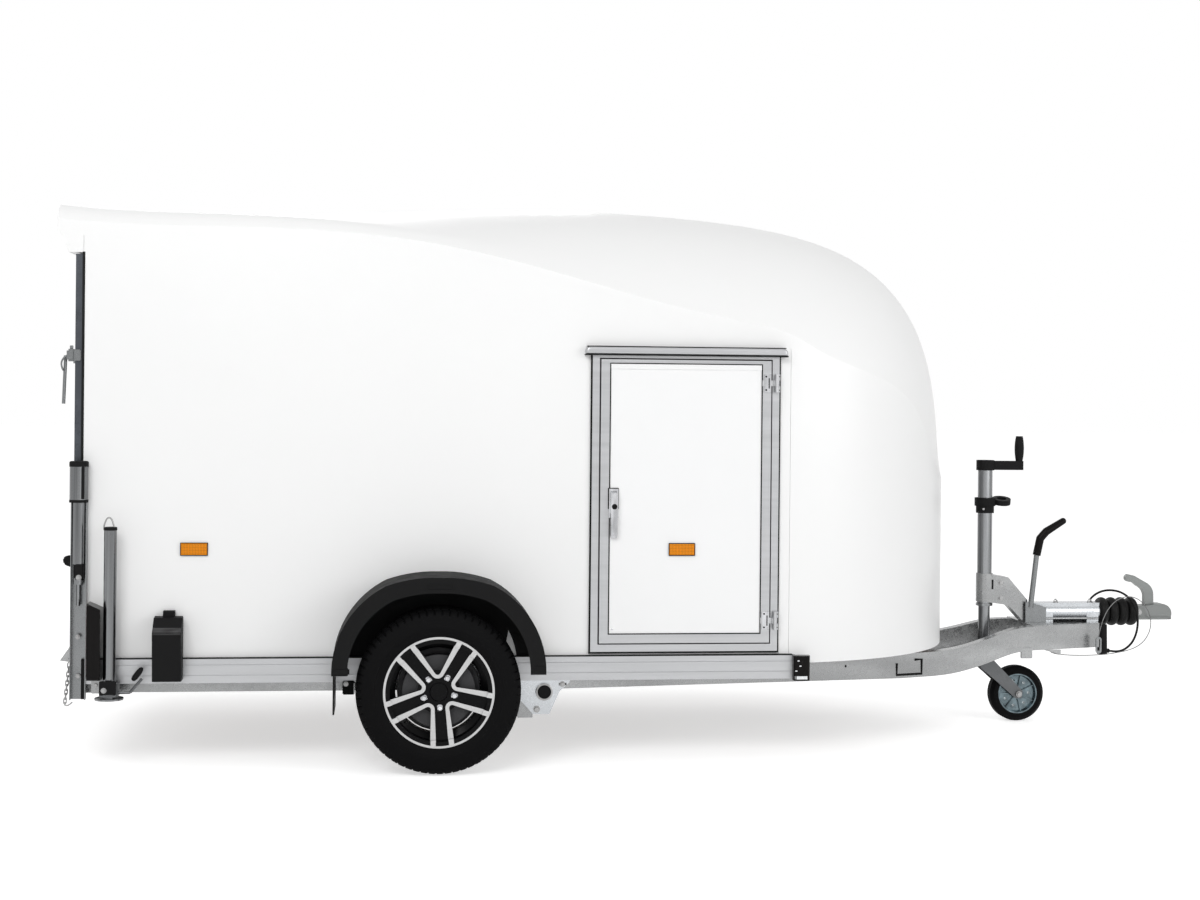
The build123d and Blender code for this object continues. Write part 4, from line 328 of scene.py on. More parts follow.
NODE_FINISHES = {
    WHITE: ("roof_shell", "nose_shell", "side_wall_left", "side_wall_right", "rear_hood"),
    PANEL: ("side_door_panel", "ramp_panel"),
    PLYWOOD: ("floor",),
    ALUMINIUM: ("sill_rails", "side_door_frame", "side_door_leaf", "drip_rail"),
    STEEL: (
        "chassis_beams", "cross_members", "trailing_arms", "rear_portal", "ramp_hinges", "jockey_bracket",
    ),
    BRIGHT_SHEET: ("overrun_housing", "pivot_brackets"),
    DARK_STEEL: ("ramp_frame",),
    GREY_ZINC: ("jockey_fork", "leg_clamps"),
    ZINC: ("brake_lever", "ramp_latches", "carabiner", "rear_posts"),
    PALE_ZINC: ("coupling", "coupling_handle"),
    CHROME_PAINTED_REFLECTIONS: ("side_door_handle",),
    DRAWN_PAINTED_STREAKS: ("ramp_springs", "leg_left", "leg_right", "jockey_tube", "jockey_inner_tube"),
    CASTER_PAINTED_HIGHLIGHTS: ("jockey_rim",),
    CAST: ("drum_left", "drum_right"),
    WHEEL_BLACK: ("rim_left", "rim_right"),
    TYRE: ("tyre_left", "tyre_right", "jockey_tyre"),
    RUBBER: ("bellows", "mud_flaps", "plug_cable"),
    BLACK: ("mudguards", "wheel_chocks", "jockey_collar", "jockey_crank", "plug"),
    BLACK_GLOSS: ("brake_grip", "lamp_housings", "marker_lamps"),
    RED_LENS: ("lamp_lenses",),
    AMBER_LENS: ("side_reflectors", "door_reflector"),
    CABLE: ("breakaway_cable",),
}
for surface, names in NODE_FINISHES.items():
    for node_name in names:
        materials = NODES[node_name].data.materials
        if not materials:
            materials.append(surface)
        for index in range(len(materials)):
            materials[index] = surface


# Mesh building

SAME_PLACE = 1e-6


def axes_for(axis):
    """Two directions square to an axis."""
    axis = Vector(axis).normalized()
    helper = Vector((0, 0, 1)) if abs(axis.z) < 0.9 else Vector((1, 0, 0))
    first = axis.cross(helper).normalized()
    return axis, first, axis.cross(first)


def add_rings(mesh, rings, closed_ends=True):
    """Bridge rings of points that have the same count."""
    made = [[mesh.verts.new(point) for point in ring] for ring in rings]
    count = len(made[0])
    for lower, upper in zip(made, made[1:]):
        for index in range(count):
            following = (index + 1) % count
            mesh.faces.new((lower[index], lower[following], upper[following], upper[index]))
    if closed_ends:
        mesh.faces.new(list(reversed(made[0])))
        mesh.faces.new(made[-1])


def ring_around(middle, first, second, radius, segments):
    """Points on a circle that lies in the plane of two directions."""
    ring = []
    for step in range(segments):
        turn = 2 * math.pi * step / segments
        ring.append(middle + first * (radius * math.cos(turn)) + second * (radius * math.sin(turn)))
    return ring


def add_lathe(mesh, origin, axis, profile, segments=32):
    """Turn (along, radius) pairs about an axis through the origin."""
    axis, first, second = axes_for(axis)
    rings = []
    for along, radius in profile:
        rings.append(ring_around(origin + axis * along, first, second, radius, segments))
    add_rings(mesh, rings)


def add_rod(mesh, start, end, radius, segments=20, edge=0.0):
    """A round bar with softly chamfered ends."""
    axis = end - start
    profile = [(0, radius), (axis.length, radius)]
    if edge:
        tip = radius - edge
        profile = [(0, tip), (edge, radius), (axis.length - edge, radius), (axis.length, tip)]
    add_lathe(mesh, start, axis, profile, segments)


WASHER_HEIGHT_SHARE, WASHER_RADIUS_SHARE = 0.2, 0.75
# Where the chamfer on a hexagon head starts, as a share of its height
CHAMFER_SHARE = 0.85


def add_bolt(mesh, origin, axis, width, height, washer=True):
    """A hexagon head with a chamfered top, on a washer."""
    lift = 0
    if washer:
        lift = height * WASHER_HEIGHT_SHARE
        rim = width * WASHER_RADIUS_SHARE
        add_lathe(mesh, origin, axis, [(0, rim), (lift, rim)], 24)
    flats = width / 2
    corners = flats / math.cos(math.radians(30))
    add_lathe(mesh, origin, axis, [(lift, corners), (height * CHAMFER_SHARE, corners), (height, flats)], 6)


# Height and width of a round screw head along its profile, as shares of its radius
SCREW_SHARES = ((0, 1), (0.35, 0.85), (0.5, 0.45), (0.2, 0.38))


def add_screw(mesh, origin, axis, radius):
    """A low round head with a recess in the middle."""
    add_lathe(mesh, origin, axis, [(radius * up, radius * out) for up, out in SCREW_SHARES], 18)


def add_box(mesh, low, high, edge):
    """An upright box between two corners, with rounded edges."""
    middle = (low + high) / 2
    size = Vector([abs(a - b) for a, b in zip(low, high)])
    placed = Matrix.Translation(middle) @ Matrix.Diagonal((*size, 1))
    made = bmesh.ops.create_cube(mesh, size=1, matrix=placed)
    edges = list({rim for corner in made["verts"] for rim in corner.link_edges})
    bmesh.ops.bevel(mesh, geom=edges, offset=edge, segments=2, affect="EDGES")


def add_prism(mesh, points, depth, edge):
    """A flat outline of 3-D points, given thickness along a vector."""
    lower = [mesh.verts.new(point) for point in points]
    upper = [mesh.verts.new(point + depth) for point in points]
    faces = [mesh.faces.new(lower), mesh.faces.new(list(reversed(upper)))]
    for index in range(len(points)):
        following = (index + 1) % len(points)
        faces.append(mesh.faces.new((lower[following], lower[index], upper[index], upper[following])))
    edges = list({rim for face in faces for rim in face.edges})
    bmesh.ops.bevel(mesh, geom=edges, offset=edge, segments=2, affect="EDGES")


def add_tube(mesh, points, radius, segments=10, closed=False):
    """A round wire along points, turned smoothly from one to the next."""
    count = len(points)
    rings = []
    normal = None
    for index, point in enumerate(points):
        before = points[index - 1] if index or closed else point
        after = points[(index + 1) % count] if index < count - 1 or closed else point
        along = (after - before).normalized()
        if normal is None:
            normal = axes_for(along)[1]
        normal = (normal - along * normal.dot(along)).normalized()
        other = along.cross(normal)
        rings.append(ring_around(point, normal, other, radius, segments))
    if closed:
        rings.append(rings[0])
    add_rings(mesh, rings, closed_ends=not closed)
    if closed:
        bmesh.ops.remove_doubles(mesh, verts=mesh.verts, dist=SAME_PLACE)


def piece(name, mesh, surface, body, sharp=35):
    """Turn a bmesh into an object of the trailer that rides on a body."""
    bmesh.ops.recalc_face_normals(mesh, faces=mesh.faces)
    data = bpy.data.meshes.new(name)
    mesh.to_mesh(data)
    mesh.free()
    data.materials.append(surface)
    data.shade_smooth()
    data.set_sharp_from_angle(angle=math.radians(sharp))
    made = bpy.data.objects.new(name, data)
    bpy.context.scene.collection.objects.link(made)
    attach(made, body)
    return made


# Road tyres with a cut tread

TREAD_BLOCKS = 64
TREAD_STEPS = 6
TREAD_DEPTH = 7
TREAD_FLOOR_RADIUS = 272
RIB_WIDTH = 30
# Stretches across the tyre that are cut into blocks, and the shallower cuts on its shoulder
BLOCK_RIBS = ((21, 46), (53.5, 84))
SHOULDER_START, SHOULDER_SHARE = 80, 0.55
# Across the tyre: distance from its middle plane, radius
TYRE_PROFILE = (
    (75, 178), (76.5, 186), (79, 197.5), (83, 203), (87.5, 214), (89.6, 222), (89.6, 224), (91, 226),
    (91, 238), (90, 240), (89.5, 250), (88.6, 252), (87, 264), (83.5, 273), (78.5, 280.5), (72, 285.8),
    (66, 287.6), (60, 288.6), (54.5, 289.2), (53, 282), (47, 282.3), (45.5, 290), (34, 290.8), (21, 291.5),
    (19.5, 284), (12.5, 284.3), (11, 291.8), (0, 292),
)


def tyre_mesh():
    """A tyre about the Y axis whose shoulder and middle ribs are cut into blocks."""
    mesh = bmesh.new()
    half = [(mm(across), mm(radius)) for across, radius in TYRE_PROFILE]
    profile = half + [(-across, radius) for across, radius in reversed(half[:-1])]
    steps = TREAD_BLOCKS * TREAD_STEPS
    rings = []
    for step in range(steps):
        angle = 2 * math.pi * step / steps
        ring = []
        for across, radius in profile:
            out = abs(across)
            cut = (step + int(out / mm(RIB_WIDTH))) % TREAD_STEPS == 0
            ribbed = any(mm(low) < out < mm(high) for low, high in BLOCK_RIBS)
            share = SHOULDER_SHARE if out > mm(SHOULDER_START) else 1
            sunk = radius
            if cut and ribbed and radius > mm(TREAD_FLOOR_RADIUS):
                sunk = radius - mm(TREAD_DEPTH) * share
            ring.append(Vector((sunk * math.cos(angle), across, sunk * math.sin(angle))))
        rings.append(ring)
    made = [[mesh.verts.new(point) for point in ring] for ring in rings]
    for index, ring in enumerate(made):
        following = made[(index + 1) % steps]
        for spot in range(len(profile) - 1):
            mesh.faces.new((ring[spot], ring[spot + 1], following[spot + 1], following[spot]))
    return mesh


# Wheel trim

SPOKE_PAIRS, SPOKE_PHASE, SPOKE_SPREAD = 5, 22.2, 25.6
SPOKE_REACH, SPOKE_ROOT, SPOKE_BEND, SPOKE_HALF_WIDTH = 176, 72, 17, 9.5
SPOKE_END_INWARD, SPOKE_END_OUTWARD = 7, 14
SPOKE_END_SINK, SPOKE_END_DEPTH, SPOKE_END_EDGE = 2, 13.4, 0.5
VALVE_FOOT, VALVE_TIP = (-118, 955, 184), (-112, 984, 188)
VALVE_RADIUS, VALVE_EDGE = 4, 1
BOLT_SEAT = ((0, 12), (2, 9.5))
BOLT_HEAD_WIDTH, BOLT_HEAD_HEIGHT = 16, 9


def spoke_ends_mesh(side):
    """The bright bars run on across the dark rim zone to the lip."""
    mesh = bmesh.new()
    for pair in range(SPOKE_PAIRS):
        turn = Matrix.Rotation(math.radians(SPOKE_PHASE + 360 / SPOKE_PAIRS * pair), 2)
        for lean in (-1, 1):
            angle = math.radians(lean * SPOKE_SPREAD)
            rim = Vector((math.cos(angle), math.sin(angle))) * SPOKE_REACH
            away = rim - Vector((SPOKE_ROOT, 0))
            touch = math.atan2(away.y, away.x) + lean * math.acos(SPOKE_BEND / away.length)
            root = Vector((SPOKE_ROOT + SPOKE_BEND * math.cos(touch), SPOKE_BEND * math.sin(touch)))
            along = (rim - root).normalized()
            across = Vector((-along.y, along.x)) * SPOKE_HALF_WIDTH
            start, end = rim - along * SPOKE_END_INWARD, rim + along * SPOKE_END_OUTWARD
            corners = [start - across, end - across, end + across, start + across]
            points = []
            for corner in corners:
                x, z = turn @ corner
                points.append(at(x, side * (WHEEL_FACE_OUT - SPOKE_END_SINK), WHEEL_RADIUS + z))
            add_prism(mesh, points, Vector((0, side * mm(SPOKE_END_DEPTH), 0)), mm(SPOKE_END_EDGE))
    return mesh


def wheel_bolts_mesh(side):
    """Hexagon bolts on the hub, each on a round seat."""
    mesh = bmesh.new()
    for bolt in range(BOLTS):
        angle = math.radians(BOLT_PHASE + 360 / BOLTS * bolt)
        x, z = BOLT_CIRCLE * math.cos(angle), WHEEL_RADIUS + BOLT_CIRCLE * math.sin(angle)
        spot, out = at(x, side * HUB_FACE_OUT, z), (0, side, 0)
        add_lathe(mesh, spot, out, [(mm(along), mm(radius)) for along, radius in BOLT_SEAT], 24)
        add_bolt(mesh, spot, out, mm(BOLT_HEAD_WIDTH), mm(BOLT_HEAD_HEIGHT), washer=False)
    return mesh


def valve_mesh(side):
    """The short rubber stem of the tyre's valve."""
    mesh = bmesh.new()
    add_rod(mesh, place(VALVE_FOOT, side), place(VALVE_TIP, side), mm(VALVE_RADIUS), 16, mm(VALVE_EDGE))
    return mesh


for side, side_name in SIDE_NAMES.items():
    wheel = f"wheel_{side_name}"
    mesh = tyre_mesh()
    bmesh.ops.translate(mesh, verts=mesh.verts, vec=at(0, side * WHEEL_PLANE, WHEEL_RADIUS))
    tyre = piece(f"tyre_tread_{side_name}", mesh, TYRE, wheel, sharp=28)
    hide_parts(f"tyre_{side_name}")
    piece(f"wheel_bolts_{side_name}", wheel_bolts_mesh(side), CHROME_PAINTED_REFLECTIONS, wheel)
    piece(f"spoke_ends_{side_name}", spoke_ends_mesh(side), MACHINED, wheel)
    piece(f"valve_{side_name}", valve_mesh(side), RUBBER, wheel)


# Small forms, whose places have the distance out from the middle as their second number

BAND_EDGE = 0.4
ROD_EDGE = 1.5
# The share of a stretch between two points that one rounding takes off each end
CORNER_CUT = 0.25
BOLT_HEIGHT_SHARE, NUT_HEIGHT_SHARE, STUD_SHARE = 0.55, 0.7, 0.3


def smooth_line(points, closed=False, rounds=3):
    """Cut the corners of a line of points until it is a curve."""
    for _ in range(rounds):
        cut = []
        last = len(points) if closed else len(points) - 1
        for index in range(last):
            here, following = points[index], points[(index + 1) % len(points)]
            cut += [here.lerp(following, CORNER_CUT), here.lerp(following, 1 - CORNER_CUT)]
        points = cut if closed else [points[0], *cut[1:-1], points[-1]]
    return points


def form_box(mesh, side, low, high, edge):
    """A box between two corners, with its edge radius."""
    add_box(mesh, place(low, side), place(high, side), mm(edge))


def form_band(mesh, side, low, high, width, inner, outer):
    """A flat frame between two (x, z) corners, of one width, from inner to outer."""
    (x0, z0), (x1, z1) = low, high
    for (left, bottom), (right, top) in (
        ((x0, z0), (x1, z0 + width)), ((x0, z1 - width), (x1, z1)),
        ((x0, z0 + width), (x0 + width, z1 - width)), ((x1 - width, z0 + width), (x1, z1 - width)),
    ):
        form_box(mesh, side, (left, inner, bottom), (right, outer, top), BAND_EDGE)


def form_sheet(mesh, side, outline, inner, outer, edge):
    """An outline of (x, z) points, from inner to outer, with its edge radius."""
    points = [place((x, inner, z), side) for x, z in outline]
    add_prism(mesh, points, Vector((0, side * mm(outer - inner), 0)), mm(edge))


def form_slab(mesh, side, corners, depth):
    """A slanted plate with four corners, given depth along a vector."""
    points = [place(corner, side) for corner in corners]
    along, out, up = depth
    add_prism(mesh, points, Vector((mm(along), side * mm(out), mm(up))), mm(BAND_EDGE))


def form_rod(mesh, side, start, end, radius):
    """A round bar from start to end."""
    add_rod(mesh, place(start, side), place(end, side), mm(radius), 24, mm(min(ROD_EDGE, radius / 3)))


def form_turned(mesh, side, start, towards, profile):
    """A turned form at start, whose (along, radius) profile runs towards a place."""
    foot = place(start, side)
    rings = [(mm(along), mm(radius)) for along, radius in profile]
    add_lathe(mesh, foot, place(towards, side) - foot, rings)


def form_wire(mesh, side, points, radius):
    """A bent wire whose corners are rounded."""
    add_tube(mesh, smooth_line([place(point, side) for point in points]), mm(radius), 12)


def form_strap(mesh, side, points, radius):
    """A round strip with sharp bends."""
    add_tube(mesh, [place(point, side) for point in points], mm(radius), 8)


def form_bolt(mesh, side, spot, width):
    """A hexagon head that faces outwards, with its width over the flats."""
    add_bolt(mesh, place(spot, side), (0, side, 0), mm(width), mm(width * BOLT_HEIGHT_SHARE))


def form_nut(mesh, side, spot, width):
    """A nut that faces up, on a stud."""
    foot = place(spot, side)
    add_bolt(mesh, foot, (0, 0, 1), mm(width), mm(width * NUT_HEIGHT_SHARE))
    add_rod(mesh, foot, foot + Vector((0, 0, mm(width))), mm(width * STUD_SHARE))


def form_screw(mesh, side, spot, radius):
    """A round screw head that faces outwards."""
    add_screw(mesh, place(spot, side), (0, side, 0), mm(radius))


FORMS = {
    "box": form_box, "band": form_band, "sheet": form_sheet, "slab": form_slab, "rod": form_rod,
    "turned": form_turned, "wire": form_wire, "strap": form_strap, "bolt": form_bolt, "nut": form_nut,
    "screw": form_screw,
}

HINGES = (516, 1387)
RIGHT_ONLY, LEFT_ONLY, BOTH = (RIGHT,), (LEFT,), (RIGHT, LEFT)
# Name, body, finish, slot, sides, forms: each form is its kind and what that form's function takes
DETAILS = (
    ("door_gasket", "side_door", RUBBER, "soft_rubber", RIGHT_ONLY, (
        ("band", (615, 467), (1180, 1456.5), 4, 793, 797.4),
    )),
    ("door_sealant", "trailer", RUBBER, "soft_rubber", RIGHT_ONLY, (
        ("band", (546, 397), (1249, 1490), 8, 779, 787),
        ("box", (522.5, 779, 1483.5), (1272.5, 813, 1487.4), 0.8),
        ("box", (530, 779, 1514.6), (1265, 809, 1517.5), 0.8),
    )),
    ("handle_seat", "side_door", BLACK, "black_plastic", RIGHT_ONLY, (
        ("box", (611, 795, 924), (651, 798.5, 1001), 1.2),
        ("turned", (633, 821, 934), (633, 830, 934), ((0, 10), (2.4, 10), (3.4, 8.4), (3.4, 4), (1.4, 3.4))),
    )),
    ("panel_screws", "side_door", CHROME_PAINTED_REFLECTIONS, "polished_sleeve", RIGHT_ONLY, (
        ("screw", (631, 793.8, 1440), 4), ("screw", (631, 793.8, 487), 4),
    )),
    ("panel_top", "side_door", PANEL, "panel_white", RIGHT_ONLY, (
        ("box", (617, 795, 1434), (1178, 796.7, 1453.5), 0.3),
    )),
    ("hinge_leaves", "side_door", CHROME_PAINTED_REFLECTIONS, "polished_sleeve", RIGHT_ONLY, tuple(
        ("box", (1184, 795, z - 33), (1211.5, 799.4, z + 33), 1) for z in HINGES
    )),
    ("hinge_leaf_screws", "side_door", BLACK, "black_plastic", RIGHT_ONLY, tuple(
        ("screw", (1192, 799.2, z + up), 3.6) for z in HINGES for up in (-24.5, 24.5)
    ) + tuple(("box", (1201, 799, z - 19), (1205, 799.9, z + 19), 0.3) for z in HINGES)),
    ("hinge_frame_screws", "trailer", BLACK, "black_plastic", RIGHT_ONLY, tuple(
        ("screw", (1240.3, 805.8, z + up), 2.2) for z in HINGES for up in (-24.5, 24.5)
    )),
    ("rail_seals", "trailer", RUBBER, "soft_rubber", BOTH, (
        ("box", (-1234, 779, 388.6), (1300, 801.4, 392.2), 0.5),
        ("box", (-1263, 779, 1084), (-1254, 782, 1828), 0.5),
    )),
    ("sleeve_caps", "trailer", BLACK, "black_plastic", BOTH, (
        (
            "turned", (-1263.5, 812.3, 1070), (-1263.5, 812.3, 1100),
            ((0, 33.4), (15, 33.4), (19, 30), (20, 12)),
        ),
        ("turned", (-1263.5, 812.3, 944), (-1263.5, 812.3, 960), ((0, 33), (9, 33), (10, 32))),
        ("rod", (-1249, 833.5, 956), (-1249, 833.5, 1070), 8.5),
        ("box", (-1277, 786, 672), (-1242, 829, 731), 6),
        ("box", (-1253, 783, 249), (-1237, 798, 390), 0.5),
        ("box", (-1178, 880, 275), (-1120, 883, 325), 2),
    )),
    # A black sheet inside each wheel arch, shaped to the dark zone there and left open low at the front:
    # partly a liner, partly painted shade.
    ("arch_shade_liners", "trailer", BLACK, "black_plastic", BOTH, (
        ("sheet", (
            (-300, 392), (-300, 500), (-285, 560), (-230, 612), (-120, 640), (0, 648), (120, 640),
            (205, 612), (262, 556), (252, 470), (236, 392),
        ), 780.5, 783, 0.4),
    )),
    ("backplate_covers", "trailer", CAST, "cast_drum", BOTH, (
        ("turned", (0, 892.5, 292), (0, 899.8, 292), ((0, 147), (6.5, 147), (7.2, 146))),
    )),
    # A lighter sheet on each chock's upward slope and lip: partly scratched wear, partly painted light where
    # the slope faces up.
    ("chock_worn_lit_treads", "trailer", WORN_LIT_BLACK, "black_plastic", BOTH, (
        ("slab", (
            (-999, 800, 537.5), (-901, 800, 537.5), (-901, 877, 489.5), (-999, 877, 489.5),
        ), (0, 2, 5)),
        ("box", (-999, 872, 484), (-901, 880.5, 490), 2),
    )),
    ("reflector_frames", "trailer", BLACK, "black_plastic", BOTH, (
        ("band", (-915.5, 754), (-818.5, 800), 2.4, 780, 786.6),
    )),
    ("door_reflector_frame", "side_door", BLACK, "black_plastic", RIGHT_ONLY, (
        ("band", (836.5, 754), (933.5, 800), 2.4, 794, 800.6),
    )),
    ("post_screws", "trailer", BOLT_STEEL, "zinc_plated", BOTH, (
        ("bolt", (-1259, 829, 681), 13), ("bolt", (-1264, 805, 470), 11), ("bolt", (-1264, 790, 330), 11),
    )),
    ("ramp_castings", "ramp", ZINC, "zinc_plated", BOTH, (
        ("box", (-1316, 735, 1440), (-1287, 782, 1484), 6),
        ("box", (-1290, 773, 1442), (-1266, 782, 1482), 3),
        (
            "wire",
            (
                (-1300, 772, 1462), (-1318, 772, 1462), (-1336, 770, 1440), (-1334, 764, 1416),
                (-1327, 755, 1404),
            ),
            3.2,
        ),
        ("rod", (-1300, 770, 1484), (-1300, 770, 1496), 6),
    )),
    ("ramp_pulls", "ramp", BLACK, "black_plastic", BOTH, (
        (
            "sheet", ((-1287, 752), (-1310, 754), (-1324, 744), (-1321, 724), (-1304, 714), (-1287, 712)),
            752, 773, 4,
        ),
    )),
    ("leg_caps", "leg_{}", BLACK, "black_plastic", BOTH, (
        ("turned", (-1148, 850, 849), (-1148, 850, 870), ((0, 23), (9, 23), (11, 21), (11.5, 8))),
    )),
    ("leg_bails", "leg_{}", BOLT_STEEL, "zinc_plated", BOTH, (
        (
            "wire",
            (
                (-1170, 850, 850), (-1171, 850, 866), (-1160, 850, 893), (-1146, 850, 893),
                (-1136, 850, 864), (-1136, 850, 850),
            ),
            2.8,
        ),
    )),
    ("clamp_plates", "trailer", STEEL, "galvanised_steel", BOTH, (
        ("box", (-1216, 800.5, 270), (-1181, 806, 330), 1.5),
        ("sheet", ((-1328, 384), (-1291, 438), (-1291, 379)), 784, 788, 0.8),
        ("box", (-300, 800, 262), (-296, 806, 300), 1),
    )),
    ("clamp_bolts", "trailer", BOLT_STEEL, "zinc_plated", BOTH, (
        ("bolt", (-1162, 882, 292), 13), ("bolt", (-1200, 806, 300), 12), ("screw", (-1300, 788, 392), 4),
        ("bolt", (358, 798, 199), 17), ("bolt", (451, 798, 289), 14), ("bolt", (-327, 806, 297), 12),
        (
            "turned", (385, 803.5, 262), (385, 810, 262),
            ((0, 31.4), (2, 31.4), (2.8, 30), (2.8, 25), (0.8, 24)),
        ),
    )),
    ("clamp_knobs", "trailer", BLACK, "black_plastic", BOTH, (
        (
            "turned", (-1068, 850, 322), (-1034, 850, 367),
            ((0, 4), (3, 7.5), (14, 10.5), (36, 10.5), (50, 8), (56, 3)),
        ),
        ("turned", (385, 803, 262), (385, 810, 262), ((0, 25), (1.6, 25), (2.2, 22), (1.4, 6))),
        ("box", (438, 797.5, 284.5), (466, 798.6, 293.5), 0.3),
        ("box", (-339, 741, 258), (-296, 806, 308), 3),
        ("box", (333, 1010, 368), (371, 1018, 387), 2.5),
        ("box", (-367, 1006, 357), (-311, 1019, 385), 5),
    )),
    ("marker_marks", "trailer", LENS_WHITE, "moulded_white", BOTH, (
        ("box", (1303, 812, 299.5), (1353, 836, 321), 5),
        ("box", (1311, 832, 370), (1319, 835, 374), 0.6),
        ("box", (1318, 832, 351), (1326, 835, 355), 0.6),
        ("box", (1303, 832, 333), (1311, 835, 337), 0.6),
    )),
    ("beam_fittings", "trailer", BLACK, "black_plastic", BOTH, (
        (
            "strap",
            ((1820, 345, 289), (1820, 345, 243), (1930, 313.5, 243), (1930, 313.5, 300), (1900, 322, 300)),
            5,
        ),
        ("turned", (1597, 408, 289), (1594, 418, 289), ((0, 5), (2, 5), (3, 3))),
        ("box", (2306, 33.5, 548), (2314, 35.7, 588), 0.3),
    )),
    ("beam_tabs", "trailer", STEEL, "galvanised_steel", RIGHT_ONLY, (
        ("box", (2386, 166, 281), (2432, 181, 324), 1.5),
        ("sheet", ((2496, 309), (2570, 309), (2570, 288)), 126, 132, 0.8),
        ("rod", (2520, 44.5, 427), (2762, 44.5, 427), 4.5),
    )),
    ("drawbar_bolts", "trailer", BOLT_STEEL, "zinc_plated", RIGHT_ONLY, (
        ("bolt", (2345, 35, 574), 14), ("bolt", (2345, 35, 511), 14), ("screw", (2268, 37, 880), 5),
        ("nut", (2590, 10, 490), 15), ("nut", (2737, 10, 490), 15),
        ("bolt", (2945, 32, 450), 15), ("bolt", (2800, 32, 450), 15),
    )),
    ("caster_bolts", "jockey_caster", BOLT_STEEL, "zinc_plated", BOTH, (("bolt", (2423, 48, 114), 17),)),
    ("cable_boots", "trailer", RUBBER, "soft_rubber", LEFT_ONLY, (
        ("turned", (2742, 70, 411.6), (2742, 70, 436), ((0, 11), (4, 10), (6, 8.5), (23, 5.2))),
    )),
)
for name, body, surface, slot, sides, forms in DETAILS:
    groups = [[side] for side in sides] if "{}" in body else [sides]
    for group in groups:
        mesh = bmesh.new()
        for side in group:
            for kind, *sizes in forms:
                FORMS[kind](mesh, side, *sizes)
        label = SIDE_NAMES[group[0]]
        made = piece(f"{name}_{label}" if "{}" in body else name, mesh, surface, body.format(label))


# Chains that hold the open ramp

CHAIN_OUT = 795
CHAIN_TOP, CHAIN_FOOT = (-1294, 377), (-1308, 236)
CHAIN_LINKS = 9
CHAIN_WIRE, HOOK_WIRE = 2.3, 2.5
HOOK_LINE = ((-1308, 240), (-1309, 228), (-1297, 226), (-1282, 239))
LINK_LENGTH_SHARE, LINK_WIDTH_WIRES = 0.68, 2.1


def chain_mesh(start, end, links, wire):
    """Oval links in line, each turned a quarter from the last."""
    mesh = bmesh.new()
    along, first, second = axes_for(end - start)
    pitch = (end - start).length / links
    for link in range(links):
        across = first if link % 2 else second
        middle = start + along * (pitch * (link + 0.5))
        ahead, aside = along * (pitch * LINK_LENGTH_SHARE), across * (wire * LINK_WIDTH_WIRES)
        corners = [middle + ahead * a + aside * b for a, b in ((-1, -1), (-1, 1), (1, 1), (1, -1))]
        add_tube(mesh, smooth_line(corners, True), wire, 8, True)
    return mesh


for side, side_name in SIDE_NAMES.items():
    top, foot = [at(x, side * CHAIN_OUT, z) for x, z in (CHAIN_TOP, CHAIN_FOOT)]
    mesh = chain_mesh(top, foot, CHAIN_LINKS, mm(CHAIN_WIRE))
    hook = [at(x, side * CHAIN_OUT, z) for x, z in HOOK_LINE]
    add_tube(mesh, smooth_line(hook), mm(HOOK_WIRE), 10)
    piece(f"ramp_chain_{side_name}", mesh, BOLT_STEEL, "trailer")


# Cords, along the route points of the part's source

PLUG_CABLE_ROUTE = (
    (2806, -54, 293), (2832, -63, 289), (2862, -75, 298), (2889, -86, 324), (2906, -92, 360),
    (2914, -94, 402), (2913, -92, 444), (2904, -84, 483), (2887, -66, 515), (2863, -40, 535),
    (2835, -10, 541), (2807, 22, 535), (2783, 50, 516), (2765, 70, 488), (2752, 76, 456),
    (2745, 73, 432), (2742, 70, 413),
)
BRAKE_CABLE_ROUTE = (
    (2520, -112, 309.6), (2531, -113, 298), (2552, -115, 290), (2588, -117, 286), (2630, -120, 284),
    (2672, -124, 284), (2714, -130, 286), (2757, -135, 289), (2808, -132, 295), (2858, -124, 303),
    (2906, -108, 316), (2948, -86, 339), (2978, -64, 373), (2990, -50, 411), (2981, -52, 450),
    (2955, -66, 484), (2921, -84, 510), (2880, -97, 524), (2838, -106, 520), (2802, -113, 501),
    (2773, -118, 470), (2753, -121, 432), (2741, -122, 394), (2734, -122, 360),
)
# Node, route, diameter, real length, far end, pieces on it, finish
CORDS = (
    ("plug_cable", PLUG_CABLE_ROUTE, 9, 586, "object", (), RUBBER),
    ("breakaway_cable", BRAKE_CABLE_ROUTE, 3.5, 962, "connector", ("carabiner",), CABLE),
)
for node_name, route, diameter, length, far_end, fitted, surface in CORDS:
    curve = bpy.data.curves.new(f"{node_name}_line", "CURVE")
    curve.dimensions = "3D"
    curve.bevel_depth = mm(diameter) / 2
    curve.bevel_resolution = 4
    curve.resolution_u = 8
    spline = curve.splines.new("NURBS")
    spline.points.add(len(route) - 1)
    for point, spot in zip(spline.points, route):
        point.co = (*at(*spot), 1)
    spline.order_u = 3
    spline.use_endpoint_u = True
    curve.materials.append(surface)
    cord = bpy.data.objects.new(f"{node_name}_line", curve)
    bpy.context.scene.collection.objects.link(cord)
    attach(cord, "trailer")
    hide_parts(node_name)

# Camera: the photograph's place and angle, level, with its small roll and framing shift

CAMERA_PLACE = (-191, -7550, 1345.7)
IMAGE_WIDTH = 1200
FOCAL_PIXELS = 1870
SENSOR = 36
HORIZON_ABOVE_MIDDLE = 57
YAW = math.radians(6.5)
ROLL = 0.0095

